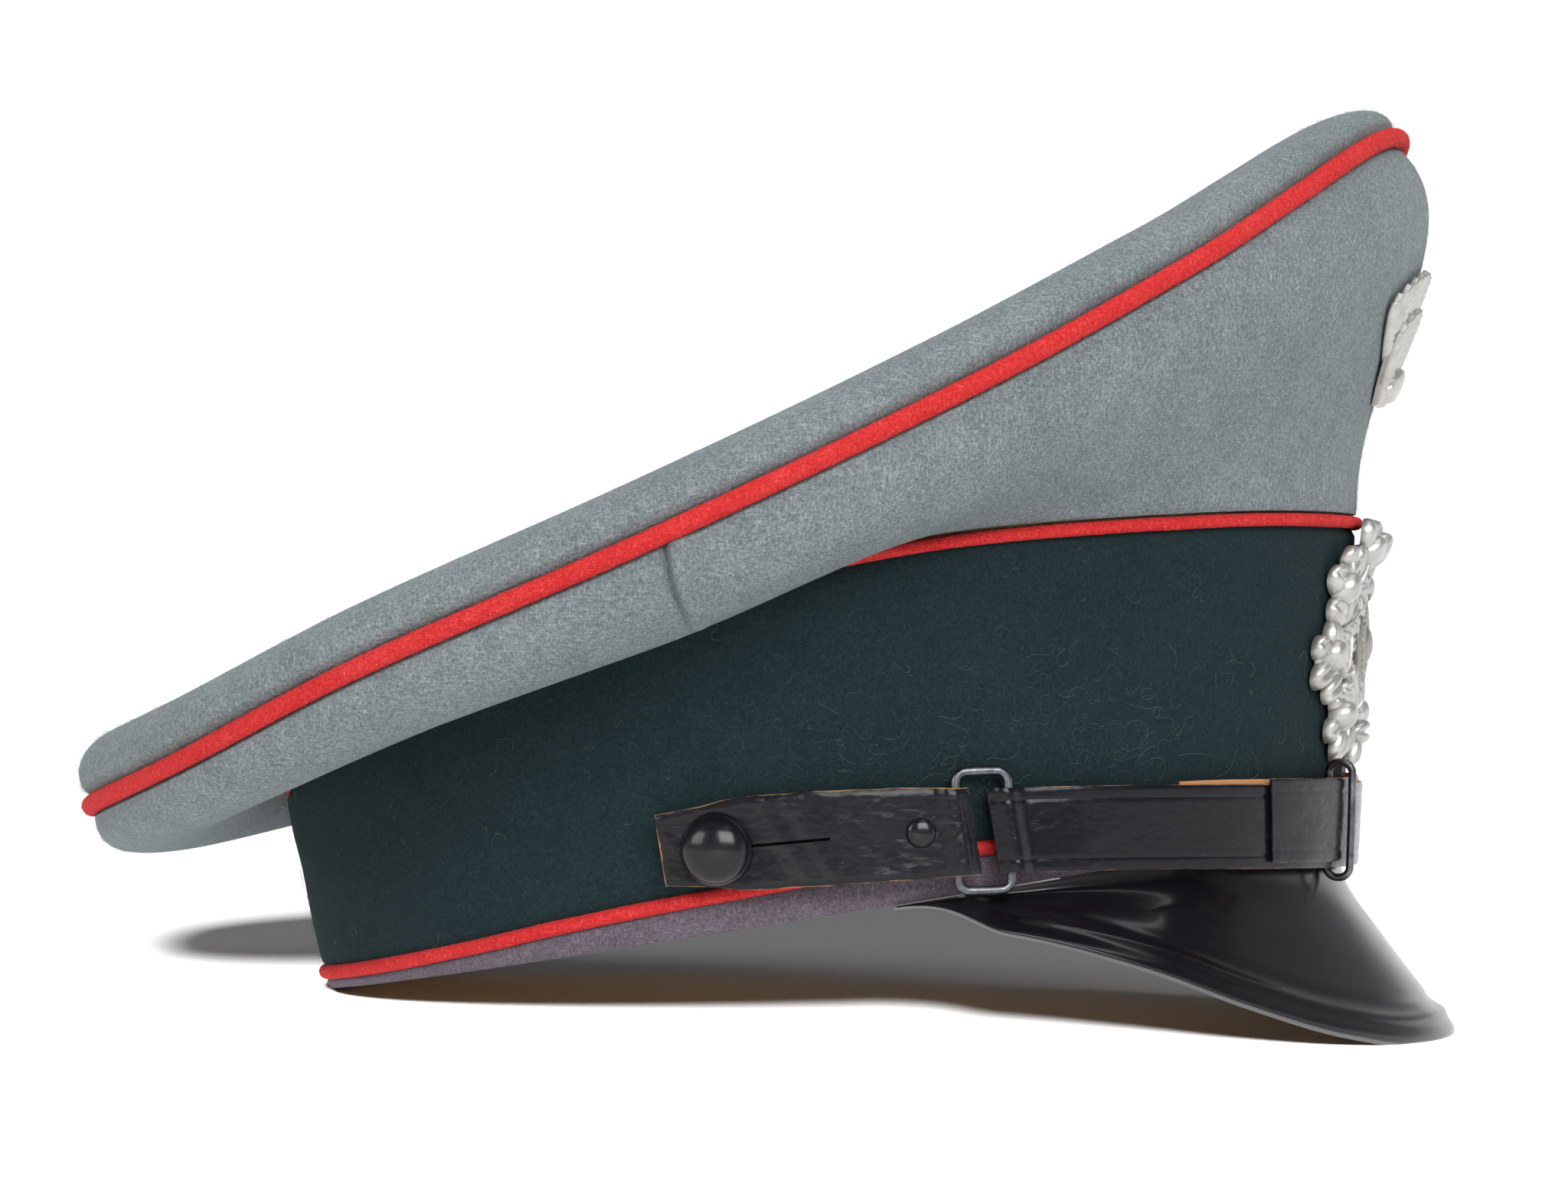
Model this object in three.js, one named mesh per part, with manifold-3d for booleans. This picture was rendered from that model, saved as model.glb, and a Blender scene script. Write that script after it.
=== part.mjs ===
// A peaked service cap, as an assembly of its separate pieces, in millimetres.
// The cap is drawn in a band frame: +X to the front, +Y to the wearer's left, +Z up from the
// plane of the band's lower edge. At the end the band frame is turned nose up, so that the cap
// rests on the back of its band and on the front edge of its visor.
import * as THREE from "three";
import { mergeVertices } from "three/addons/utils/BufferGeometryUtils.js";
import Module from "manifold-3d";

const wasm = await Module();
wasm.setup();

const DEG = Math.PI / 180;
const UP = new THREE.Vector3(0, 0, 1);
const MERGE = 1e-4;

// ---------------------------------------------------------------- driving dimensions

const REST_TILT = 11.31 * DEG;
const BAND = {
  front: 103.5, frontRadius: 76, sideRadius: 124.3, rearRadius: 85.5, frontAngle: 50 * DEG,
  rearLean: 0.057, frontLean: 0.224,
};
const LAYER = {
  cloth: 1.4, stiffenerOuter: -2.3, stiffenerInner: -3.4, prong: -4.6, sweatOuter: -5.9, sweatInner: -7.1,
};
const GAP = 0.3;
const RIM = { shift: -4, pipingRadius: 1.9, clear: 2.3 };
const UPPER_PIPING = 1.25;
const LOWER_PIPING = { radius: 1.4, sink: 0.6 };
const CROWN_CLOTH = 1.6;
const SIDE_SEAM = 87 * DEG;
const BUTTON = { angle: 90 * DEG, height: 15.8, radius: 6.75, shank: 1.3 };
const RING = {
  angle: 68.2 * DEG, leg: 5.1, half: 11.1, wire: 0.9, standoff: 3.9, corner: 2.4, bore: 1.3, play: 1.7,
};
const TAB = {
  start: 94.7 * DEG, inner: 2.6, outer: 4.8, half: 8.6, endHalf: 6.7, ringHalf: 8.2, slit: 21,
  slitSlope: 0.07,
};
const RIVET = { angle: 73.4 * DEG, radius: 2.8, foot: 2.0, shank: 0.9 };
const STRAP = {
  inner: 2.85, innerTop: 3.45, outerBase: 3.75, outer: 4.45, half: 7.9, joint: 50 * DEG, innerLift: 0.5,
};
const SLIDER = {
  left: 26 * DEG, right: 14.6 * DEG, inner: 1.75, outer: 6.65, half: 11.2, wire: 0.7, lean: 0.205, lift: 1.1,
  corner: 2.6,
};
const STRAP_END = { far: 20.4 * DEG, near: -1.4 * DEG, inner: 4.75, outer: 5.4, lift: 1.2 };
const VISOR = {
  rootAngle: 76 * DEG, edgeAngle: 96 * DEG, thickness: 1.86, edgeX: 33, reach: 86.7, halfWidth: 90.2,
  underDrop: 0.4, sink: -0.6, taperFrom: 0.84, taper: 0.78,
};
const BEAD = { at: 0.86, width: 0.045, height: 0.7 };
const CONTACT_SLICE = 0.3;

// ---------------------------------------------------------------- curves

/** A smooth curve through [place, value] pairs, level at both of its ends. */
function through(pairs) {
  const slope = pairs.map((_, i) => {
    if (i === 0 || i === pairs.length - 1) return 0;
    return (pairs[i + 1][1] - pairs[i - 1][1]) / (pairs[i + 1][0] - pairs[i - 1][0]);
  });
  return (place) => {
    let i = 0;
    while (i < pairs.length - 2 && place > pairs[i + 1][0]) i += 1;
    const span = pairs[i + 1][0] - pairs[i][0];
    const t = THREE.MathUtils.clamp((place - pairs[i][0]) / span, 0, 1);
    const [a, b] = [pairs[i][1], pairs[i + 1][1]];
    const rise = 3 * t * t - 2 * t * t * t;
    return a + (b - a) * rise + span * t * (1 - t) * (slope[i] * (1 - t) - slope[i + 1] * t);
  };
}

/** The same, read at an angle in degrees from the front, alike on the left and the right. */
function around(pairs) {
  const curve = through(pairs);
  return (angle) => curve(Math.abs(angle) / DEG);
}

const rimHeight = through([[-150, 43], [-110, 46.8], [-60, 59.2], [0, 73.3], [60, 91.7], [100, 108.3],
  [120, 119.6], [138, 131.8], [170, 150]]);
const bandTop = around([[0, 58.4], [45, 62], [71, 65], [95, 61], [135, 48.5], [180, 38.5]]);
const lowerPiping = around([[0, 8], [68, 8], [95, 7], [118, 4.7], [140, 3.6], [180, 3.6]]);
const rimOffset = around([[0, 38], [45, 36.8], [90, 36.5], [180, 36.5]]);
const rollHeight = around([[0, 0.8], [50, 0.95], [110, 1], [180, 1.15]]);
const rimOut = around([[0, 14], [45, 6], [90, 1.5], [180, 2]]);
const rimDrop = around([[0, 18], [45, 20], [90, 19], [180, 14]]);
const footOut = around([[0, 3], [45, 5], [71, 7], [90, 7], [180, 9.5]]);
const footRise = around([[0, 27.5], [45, 14], [71, -2], [90, -14], [135, -12], [180, -9]]);
const strapHeight = (x) => 16.13 - 0.083 * x - 0.00062 * x * x;

// ---------------------------------------------------------------- the oval of the band

const oval = (() => {
  const { front, frontRadius, sideRadius, rearRadius, frontAngle } = BAND;
  const frontX = front - frontRadius;
  const sideX = frontX - (sideRadius - frontRadius) * Math.cos(frontAngle);
  const sideY = -(sideRadius - frontRadius) * Math.sin(frontAngle);
  const rearAngle = Math.PI - Math.asin(-sideY / (sideRadius - rearRadius));
  const rearX = sideX + (sideRadius - rearRadius) * Math.cos(rearAngle);
  return { frontX, sideX, sideY, rearAngle, rearX };
})();

/** A point of the head oval of four arcs, moved outward by an offset, at a height. */
function ovalPoint(angle, offset, z) {
  const turn = Math.abs(angle);
  let [x, y, radius] = [oval.frontX, 0, BAND.frontRadius];
  if (turn > oval.rearAngle) [x, y, radius] = [oval.rearX, 0, BAND.rearRadius];
  else if (turn > BAND.frontAngle) [x, y, radius] = [oval.sideX, oval.sideY, BAND.sideRadius];
  const side = angle < 0 ? -1 : 1;
  const reach = radius + offset;
  return new THREE.Vector3(x + reach * Math.cos(turn), side * (y + reach * Math.sin(turn)), z);
}

const outward = (angle) => new THREE.Vector3(Math.cos(angle), Math.sin(angle), 0);

/** How far the band's wall leans out for each millimetre of height. */
function wallLean(angle) {
  const toFront = ((1 + Math.cos(angle)) / 2) ** 2;
  return BAND.rearLean + (BAND.frontLean - BAND.rearLean) * toFront;
}

const onWall = (angle, z, standoff) => ovalPoint(angle, wallLean(angle) * z + standoff, z);

/** The way square to the leaning wall. */
function wallNormal(angle) {
  return outward(angle).addScaledVector(UP, -wallLean(angle)).normalize();
}

/** A point of the chin strap: it stands upright at the sides and leans with the wall in front. */
function onStrap(angle, rise, standoff) {
  const middle = strapHeight(ovalPoint(angle, standoff, 0).x);
  const upright = THREE.MathUtils.smoothstep(Math.abs(angle), 55 * DEG, 66 * DEG);
  const lean = wallLean(angle) * (middle + rise * (1 - upright));
  return ovalPoint(angle, lean + standoff, middle + rise);
}

// ---------------------------------------------------------------- closed solids

/** Welds triangle corners into one closed geometry that faces outward. */
function weld(corners) {
  const loose = new THREE.BufferGeometry().setFromPoints(corners);
  const merged = mergeVertices(loose, MERGE);
  const place = merged.getAttribute("position");
  const kept = [];
  let volume = 0;
  const [a, b, c] = [new THREE.Vector3(), new THREE.Vector3(), new THREE.Vector3()];
  for (let i = 0; i < merged.index.count; i += 3) {
    const [p, q, r] = [0, 1, 2].map((k) => merged.index.getX(i + k));
    if (p === q || q === r || r === p) continue;
    kept.push(p, q, r);
    a.fromBufferAttribute(place, p);
    b.fromBufferAttribute(place, q);
    c.fromBufferAttribute(place, r);
    volume += a.dot(b.cross(c));
  }
  merged.setIndex(volume < 0 ? kept.reverse() : kept);
  return merged;
}

/** A closed sheet between an outer and an inner surface, each a function of (u, v) in 0 to 1. */
function sheetSolid(outer, inner, columns, rows, wraps = false) {
  const grid = (surface) => Array.from({ length: columns + 1 }, (_, i) => {
    const u = wraps && i === columns ? 0 : i / columns;
    return Array.from({ length: rows + 1 }, (__, j) => surface(u, j / rows));
  });
  const [front, back] = [grid(outer), grid(inner)];
  const corners = [];
  const quad = (p, q, r, s) => corners.push(p, q, r, p, r, s);
  for (let i = 0; i < columns; i += 1) {
    for (let j = 0; j < rows; j += 1) {
      quad(front[i][j], front[i + 1][j], front[i + 1][j + 1], front[i][j + 1]);
      quad(back[i][j], back[i][j + 1], back[i + 1][j + 1], back[i + 1][j]);
    }
    quad(front[i][0], back[i][0], back[i + 1][0], front[i + 1][0]);
    quad(front[i][rows], front[i + 1][rows], back[i + 1][rows], back[i][rows]);
  }
  for (let j = 0; j < rows && !wraps; j += 1) {
    quad(front[0][j], front[0][j + 1], back[0][j + 1], back[0][j]);
    quad(front[columns][j], back[columns][j], back[columns][j + 1], front[columns][j + 1]);
  }
  return weld(corners);
}

/** A closed round wire or piping along a loop, path(u); across is never along the loop. */
function loopSolid(path, radius, steps, sides, across = UP) {
  const centres = Array.from({ length: steps }, (_, i) => path(i / steps));
  const rings = centres.map((centre, i) => {
    const tangent = centres[(i + 1) % steps].clone().sub(centres.at(i - 1)).normalize();
    const first = tangent.clone().cross(across).normalize();
    const second = tangent.clone().cross(first);
    return Array.from({ length: sides }, (_, k) => {
      const turn = (2 * Math.PI * k) / sides;
      const spoke = first.clone().multiplyScalar(Math.cos(turn));
      return centre.clone().addScaledVector(spoke.addScaledVector(second, Math.sin(turn)), radius);
    });
  });
  const corners = [];
  rings.forEach((ring, i) => {
    const next = rings[(i + 1) % steps];
    ring.forEach((point, k) => {
      const l = (k + 1) % sides;
      corners.push(point, next[k], next[l], point, next[l], ring[l]);
    });
  });
  return weld(corners);
}

/** A surface moved along its own normal by a distance. */
function movedOut(surface, distance, wraps = false) {
  const step = 1e-3;
  return (u, v) => {
    const [u0, u1] = wraps ? [u - step, u + step] : [Math.max(u - step, 0), Math.min(u + step, 1)];
    const [v0, v1] = [Math.max(v - step, 0), Math.min(v + step, 1)];
    const alongU = surface(u1, v).sub(surface(u0, v));
    const alongV = surface(u, v1).sub(surface(u, v0));
    const normal = alongU.cross(alongV).normalize();
    return surface(u, v).addScaledVector(normal, distance);
  };
}

/** A turned piece: a closed profile of [radius, height] points, with its axis along a direction. */
function turned(profile, place, direction, segments) {
  const outline = profile.map(([radius, height]) => new THREE.Vector2(radius, height));
  const geometry = new THREE.LatheGeometry(outline, segments);
  const turn = new THREE.Quaternion().setFromUnitVectors(new THREE.Vector3(0, 1, 0), direction);
  geometry.applyQuaternion(turn).translate(place.x, place.y, place.z);
  return positionsOnly(geometry);
}

function positionsOnly(geometry) {
  const flat = geometry.index ? geometry.toNonIndexed() : geometry;
  const place = flat.getAttribute("position");
  const corners = Array.from({ length: place.count }, (_, i) =>
    new THREE.Vector3().fromBufferAttribute(place, i));
  return weld(corners);
}

/** A box whose own x, y and z run along a direction, sideways and up. */
function block(size, place, direction) {
  const geometry = new THREE.BoxGeometry(...size);
  const turn = new THREE.Quaternion().setFromUnitVectors(new THREE.Vector3(1, 0, 0), direction);
  geometry.applyQuaternion(turn).translate(place.x, place.y, place.z);
  return positionsOnly(geometry);
}

function asSolid(geometry) {
  const vertProperties = Float32Array.from(geometry.getAttribute("position").array);
  const triVerts = Uint32Array.from(geometry.index.array);
  return new wasm.Manifold(new wasm.Mesh({ numProp: 3, vertProperties, triVerts }));
}

function asGeometry(solid) {
  const mesh = solid.getMesh();
  const geometry = new THREE.BufferGeometry();
  geometry.setAttribute("position", new THREE.Float32BufferAttribute(mesh.vertProperties, 3));
  geometry.setIndex(Array.from(mesh.triVerts));
  return geometry;
}

const cut = (geometry, cutters) => asGeometry(
  cutters.reduce((solid, cutter) => solid.subtract(asSolid(cutter)), asSolid(geometry)));
const join = (geometry, pieces) => asGeometry(
  pieces.reduce((solid, piece) => solid.add(asSolid(piece)), asSolid(geometry)));

// ---------------------------------------------------------------- materials

const material = (name, color, roughness, metalness = 0) =>
  new THREE.MeshStandardMaterial({ name, color, roughness, metalness });
const MATERIAL = {
  crownWool: material("field_grey_wool", 0x84908f, 0.95),
  bandWool: material("bottle_green_wool", 0x243434, 0.95),
  piping: material("red_wool_piping", 0xd83a38, 0.9),
  baseCloth: material("grey_base_cloth", 0x6d636c, 0.95),
  stiffener: material("buckram_board", 0xb09a72, 0.85),
  lining: material("rayon_lining", 0x9a6a3c, 0.45),
  shield: material("celluloid", 0xc9b98f, 0.2),
  sweatLeather: material("tan_sweatband_leather", 0xa9784a, 0.6),
  ribbon: material("black_ribbon", 0x16161a, 0.6),
  visor: material("lacquered_fibre", 0x0b0c0e, 0.12),
  strap: material("black_lacquered_leather", 0x121216, 0.25),
  strapInner: material("strap_leather_inner", 0xa56f42, 0.7),
  blackMetal: material("black_japanned_metal", 0x15161a, 0.22, 0.6),
  darkWire: material("dark_nickel_wire", 0x3a3c42, 0.3, 0.9),
  silver: material("frosted_silver_metal", 0xdcd8d2, 0.38, 0.9),
  steel: material("spring_steel", 0x6f7276, 0.4, 0.9),
};

// ---------------------------------------------------------------- crown

const rimPoint = (angle) => {
  const point = ovalPoint(angle, rimOffset(angle), 0);
  point.x += RIM.shift;
  point.z = rimHeight(point.x);
  return point;
};
const rimFront = rimPoint(0);
const rimBack = rimPoint(Math.PI);
const CROWN_SAG = -6;
const MIDDLE = 1000;
const NEAR_MIDDLE = 0.02;

/** The slack surface stretched over the rim; reach runs from 0 in the middle to 1 on the rim. */
function crownMembrane(angle, reach) {
  const rim = rimPoint(angle);
  const slope = (rimFront.z - rimBack.z) / (rimFront.x - rimBack.x);
  const level = (x) => rimBack.z + slope * (x - rimBack.x);
  const middleX = (rimFront.x + rimBack.x) / 2;
  const x = middleX + (rim.x - middleX) * reach;
  const blend = reach * reach;
  const z = level(x) + (rim.z - level(rim.x)) * blend + CROWN_SAG * (1 - blend);
  return new THREE.Vector3(x, rim.y * reach, z);
}

/** A point held a way in from the rim, and a height square to the membrane. */
function overCrown(angle, inward, height) {
  const span = rimPoint(angle).setZ(0).distanceTo(crownMembrane(angle, 0).setZ(0));
  const reach = 1 - Math.min(inward, span) / span;
  const near = Math.max(reach, NEAR_MIDDLE);
  const step = 1e-3;
  const alongReach = crownMembrane(angle, near + step).sub(crownMembrane(angle, near - step));
  const alongTurn = crownMembrane(angle + step, near).sub(crownMembrane(angle - step, near));
  const normal = alongReach.cross(alongTurn).normalize();
  if (reach < NEAR_MIDDLE) normal.copy(UP);
  return crownMembrane(angle, reach).addScaledVector(normal, height);
}

const ROLL = [[0.5, 2.4], [-0.3, 4.6], [0.8, 7.6], [4.2, 10], [9.5, 10.8], [18, 9.8], [34, 7],
  [60, 5], [95, 4.2], [200, 4]];
const rollCurve = new THREE.SplineCurve(ROLL.map(([x, y]) => new THREE.Vector2(x, y)));
const turnOf = (u) => (2 * u - 1) * Math.PI;

function crownTop() {
  const outer = (u, v) => {
    const profile = rollCurve.getPoint(v);
    const height = ROLL[0][1] + (profile.y - ROLL[0][1]) * rollHeight(turnOf(u));
    return overCrown(turnOf(u), v === 1 ? MIDDLE : profile.x, v > 0.8 ? profile.y : height);
  };
  return sheetSolid(outer, movedOut(outer, -CROWN_CLOTH, true), 44, 10, true);
}

/** The crown's side, from just under the rim piping (v = 0) to the band's upper piping (v = 1). */
function crownSide(angle, v) {
  const out = outward(angle);
  const rim = rimPoint(angle).addScaledVector(UP, -RIM.clear).addScaledVector(out, -0.4);
  const foot = onWall(angle, bandTop(angle) + UPPER_PIPING + 0.9, 0.2);
  const high = rim.clone().addScaledVector(out, rimOut(angle)).addScaledVector(UP, -rimDrop(angle));
  const low = foot.clone().addScaledVector(out, footOut(angle)).addScaledVector(UP, footRise(angle));
  return new THREE.CubicBezierCurve3(rim, high, low, foot).getPoint(v);
}

function crownPanel(from, to, columns) {
  const outer = (u, v) => crownSide(from + (to - from) * u, v);
  return sheetSolid(outer, movedOut(outer, to > from ? CROWN_CLOTH : -CROWN_CLOTH), columns, 8);
}

const SEAM_GAP = 0.1 * DEG;
const ringPath = (offsetAt) => (u) => offsetAt(turnOf(u));

function crownPiping() {
  return loopSolid(ringPath(rimPoint), RIM.pipingRadius, 54, 6);
}

function crownRingWire() {
  return loopSolid(ringPath((angle) => overCrown(angle, 6.2, 2.6)), 1.1, 40, 5);
}

/** A curved stay of board behind the front panel, which holds the crown up. */
const STAY = { halfAngle: 11 * DEG, outer: 2.1, inner: 3.6, from: 0.13, to: 0.93 };
function frontStay() {
  const surface = (u, v) => {
    const down = STAY.from + (STAY.to - STAY.from) * v;
    return crownSide((2 * u - 1) * STAY.halfAngle, down);
  };
  return sheetSolid(movedOut(surface, STAY.outer), movedOut(surface, STAY.inner), 6, 6);
}

/** The lining: a slack bag under the crown's top that comes down to the band. */
const LINING = { rim: 15, under: -3, corner: -1.5, footRise: 1.8, footIn: 1.4, shoulder: 6, thickness: 0.8 };
function liningPoint(angle, v) {
  const middle = overCrown(angle, MIDDLE, LINING.under);
  const corner = overCrown(angle, LINING.rim, LINING.corner);
  const foot = onWall(angle, bandTop(angle) + LINING.footRise, LAYER.stiffenerInner - LINING.footIn);
  if (v < 0.5) return middle.lerp(corner, v * 2);
  const shoulder = foot.clone().addScaledVector(UP, LINING.shoulder);
  return new THREE.QuadraticBezierCurve3(corner, shoulder, foot).getPoint(v * 2 - 1);
}
function crownLining() {
  const outer = (u, v) => liningPoint(turnOf(u), v);
  return sheetSolid(outer, movedOut(outer, -LINING.thickness, true), 28, 8, true);
}

/** A thin clear shield over the middle of the lining. */
const SHIELD = { reach: 0.26, upper: -1.4, lower: -1.9 };
function sweatShield() {
  const surface = (depth) => (u, v) =>
    liningPoint(turnOf(u), v * SHIELD.reach).addScaledVector(UP, depth);
  return sheetSolid(surface(SHIELD.upper), surface(SHIELD.lower), 28, 2, true);
}

// ---------------------------------------------------------------- band

const lowerEdge = (angle) => lowerPiping(angle) + LOWER_PIPING.radius + GAP;

function wallSheet(outer, inner, low, high, columns, rows) {
  const surface = (standoff) => (u, v) => {
    const angle = turnOf(u);
    return onWall(angle, low(angle) + (high(angle) - low(angle)) * v, standoff);
  };
  return sheetSolid(surface(outer), surface(inner), columns, rows, true);
}

const bandClothTop = (angle) => bandTop(angle) - UPPER_PIPING - GAP;

function bandPiping(height, radius, standoff) {
  return loopSolid(ringPath((angle) => onWall(angle, height(angle), standoff)), radius, 48, 5);
}

/** A small flat bow of ribbon inside the back of the sweatband. */
const BOW = {
  height: 12, standoff: 2.2, lobeY: 7, lobeHalf: 6.4, lobeRise: 3.4, cord: 0.7, knot: [2, 3, 3.4],
};
function sweatbandBow() {
  const x = oval.rearX - BAND.rearRadius - LAYER.sweatInner + BOW.standoff;
  const ahead = new THREE.Vector3(1, 0, 0);
  const lobe = (side) => loopSolid((u) => {
    const turn = 2 * Math.PI * u;
    const y = side * (BOW.lobeY - BOW.lobeHalf * Math.cos(turn));
    return new THREE.Vector3(x, y, BOW.height + BOW.lobeRise * Math.sin(turn));
  }, BOW.cord, 12, 4, ahead);
  const knot = block(BOW.knot, new THREE.Vector3(x, 0, BOW.height), ahead);
  return join(knot, [lobe(1), lobe(-1)]);
}

// ---------------------------------------------------------------- visor

const visorProfile = through([[0, 0], [0.25, 0.03], [0.5, 0.33], [0.8, 0.74], [1, 1]]);
const visorDrop = through([[-200, 0], [20, -0.8], [49, -8.8], [71, -19], [87, -28.8], [104, -38.4],
  [119.7, -44], [300, -44]]);

/** The visor's upper face: v runs from the root under the band to the outer edge. */
function visorPoint(u, v) {
  const side = 2 * u - 1;
  const root = ovalPoint(side * VISOR.rootAngle, VISOR.sink, -GAP);
  const sweep = side * VISOR.edgeAngle;
  const edge = new THREE.Vector3(VISOR.edgeX + VISOR.reach * Math.cos(sweep),
    VISOR.halfWidth * Math.sin(sweep), 0);
  edge.z = visorDrop(edge.x);
  const taper = 1 - VISOR.taper * THREE.MathUtils.smoothstep(Math.abs(side), VISOR.taperFrom, 1);
  const point = root.clone().lerp(edge, visorProfile(v) * taper);
  point.z = root.z + (edge.z - root.z) * v * taper;
  const bead = BEAD.height * Math.exp(-(((v - BEAD.at) / BEAD.width) ** 2));
  return point.addScaledVector(outward(side * VISOR.rootAngle), bead * (1 - side ** 8));
}

function visor() {
  const inner = (u, v) => visorPoint(u, v)
    .addScaledVector(outward((2 * u - 1) * VISOR.rootAngle), -VISOR.thickness)
    .addScaledVector(UP, -VISOR.underDrop * Math.min(1, 5 * v));
  return sheetSolid(visorPoint, inner, 28, 10);
}

// ---------------------------------------------------------------- badges

const WREATH = { middle: 35.2, wide: 30, tall: 23.3, innerWide: 9.8, innerTall: 10.6, lobes: 16 };

function wreathPoint(turn, reach, standoff) {
  const lobe = 1 + 0.05 * Math.cos(WREATH.lobes * turn) * reach;
  const wide = WREATH.innerWide + (WREATH.wide - WREATH.innerWide) * reach;
  const tall = WREATH.innerTall + (WREATH.tall - WREATH.innerTall) * reach;
  const across = wide * lobe * Math.sin(turn);
  const z = WREATH.middle + tall * lobe * Math.cos(turn);
  return onWall(across / (BAND.frontRadius + wallLean(0) * z), z, standoff);
}

const frontNormal = wallNormal(0);
const prongPlaces = [1, -1].map((side) => onWall((side * 19) / 84, WREATH.middle, 0));

function wreathBadge() {
  const relief = (u, v) => {
    const leaf = 0.6 * Math.cos(2 * Math.PI * u * WREATH.lobes) * Math.sin(Math.PI * v);
    return wreathPoint(2 * Math.PI * u, v, 2.4 + 2.4 * Math.sin(Math.PI * v) ** 0.6 + leaf);
  };
  const back = (u, v) => {
    const z = wreathPoint(2 * Math.PI * u, v, 0).z;
    return wreathPoint(2 * Math.PI * u, v, 0.4 + 1.5 * THREE.MathUtils.smoothstep(z, 49, 56));
  };
  const plate = sheetSolid(relief, back, 64, 4, true);
  const prongs = prongPlaces.flatMap((place) => {
    const normal = wallNormal(Math.atan2(place.y, BAND.frontRadius));
    const middle = place.clone().addScaledVector(normal, -1.5);
    const bent = place.clone().addScaledVector(normal, LAYER.prong).addScaledVector(UP, -2);
    return [block([6.2, 2, 0.9], middle, normal), block([0.6, 2, 5.4], bent, normal)];
  });
  return join(plate, prongs);
}

function prongSlots() {
  return prongPlaces.map((place) => {
    const normal = wallNormal(Math.atan2(place.y, BAND.frontRadius));
    return block([12, 2.7, 1.6], place.clone().addScaledVector(normal, -1), normal);
  });
}

const ROUNDEL = { radius: 8.4, shank: 1.0 };
const roundelPlace = onWall(0, WREATH.middle, 0);

function roundel() {
  return turned([[0, -4.7], [2.2, -4.7], [2.2, -4.1], [ROUNDEL.shank, -4.1],
    [ROUNDEL.shank, 1.2], [7.4, 1.2], [ROUNDEL.radius, 2.0], [ROUNDEL.radius, 3.2], [7.4, 3.9],
    [5.6, 3.4], [4.4, 4.3], [2.2, 4.9], [0, 5.1]], roundelPlace, frontNormal, 20);
}

const UPPER = {
  high: 0.4, low: 0.745, topHalf: 25, footHalf: 9, lift: 0.7, arch: 0.22, rays: 9, across: 105,
};

function upperBadgePoint(u, v, standoff) {
  const half = UPPER.footHalf + (UPPER.topHalf - UPPER.footHalf) * Math.cos((v * Math.PI) / 2) ** 0.8;
  const arch = 1 - UPPER.arch * (2 * u - 1) ** 2;
  const across = (2 * u - 1) * half;
  const t = UPPER.low + (UPPER.high - UPPER.low) * (1 - v) * arch;
  const angle = across / UPPER.across;
  return crownSide(angle, t).addScaledVector(outward(angle), standoff + UPPER.lift * (1 - v));
}

const upperProngs = [1, -1].map((side) => {
  const angle = (side * 8) / UPPER.across;
  return { place: crownSide(angle, 0.52), out: outward(angle) };
});

function upperBadge() {
  const face = (u, v) => upperBadgePoint(u, v, 1.9 + 0.5 * Math.cos(2 * Math.PI * UPPER.rays * (u - 0.5)));
  const plate = sheetSolid(face, (u, v) => upperBadgePoint(u, v, 0.6), 36, 3);
  const prongs = upperProngs.map(({ place, out }) =>
    block([10, 2, 0.8], place.clone().addScaledVector(out, -3.4), out));
  return join(plate, prongs);
}

function upperProngSlots() {
  return upperProngs.map(({ place, out }) =>
    block([16, 2.7, 1.5], place.clone().addScaledVector(out, -3.5), out));
}

// ---------------------------------------------------------------- chin strap

const sideY = new THREE.Vector3(0, 1, 0);
const buttonPlace = (side) => onWall(side * BUTTON.angle, BUTTON.height, 0);

function sideButton(side) {
  const base = TAB.outer + 0.5;
  const wall = LAYER.stiffenerInner;
  const dome = [0.35, 0.7, 1].map((t) => {
    const turn = (t * Math.PI) / 2;
    return [(BUTTON.radius - 0.2) * Math.cos(turn), base + 1.2 + 4.2 * Math.sin(turn)];
  });
  dome[dome.length - 1][0] = 0;
  const profile = [[0, wall - 1.5], [3.6, wall - 1.5], [3.6, wall - 0.9], [BUTTON.shank, wall - 0.8],
    [BUTTON.shank, base], [BUTTON.radius - 0.4, base], [BUTTON.radius, base + 0.5],
    [BUTTON.radius - 0.2, base + 1.2], ...dome];
  return turned(profile, buttonPlace(side), sideY.clone().multiplyScalar(side), 18);
}

function boreCutter(side, radius) {
  const profile = [[0, -20], [radius, -20], [radius, 20], [0, 20]];
  return turned(profile, buttonPlace(side), sideY.clone().multiplyScalar(side), 16);
}

const perDegree = ((BAND.sideRadius + RING.standoff) * DEG);
const ringAngle = (side, along) => side * (RING.angle - (along / perDegree) * DEG);
const ringAxes = (side) => {
  const centre = onStrap(side * RING.angle, 0, RING.standoff);
  const ahead = onStrap(ringAngle(side, 1), 0, RING.standoff).sub(centre).normalize();
  const out = outward(side * RING.angle);
  const up = out.clone().cross(ahead).multiplyScalar(-side).normalize();
  return { centre, ahead, out, up };
};

/** Lets leather swell round a leg of the ring; along is measured forward from the ring. */
function swell(side, angle, leg) {
  const along = ((RING.angle - Math.abs(angle)) / DEG) * perDegree;
  return Math.exp(-(((along - leg) / 2.1) ** 2) * Math.abs((along - leg) / 2.1));
}

function ringLegCutter(side, leg) {
  const { centre, ahead, up } = ringAxes(side);
  const profile = [[0, -16], [RING.bore, -16], [RING.bore, 16], [0, 16]];
  return turned(profile, centre.clone().addScaledVector(ahead, leg), up, 10);
}

const tabHalf = through([[0, TAB.endHalf], [0.28, TAB.half], [0.75, TAB.half], [1, TAB.ringHalf]]);

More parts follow.
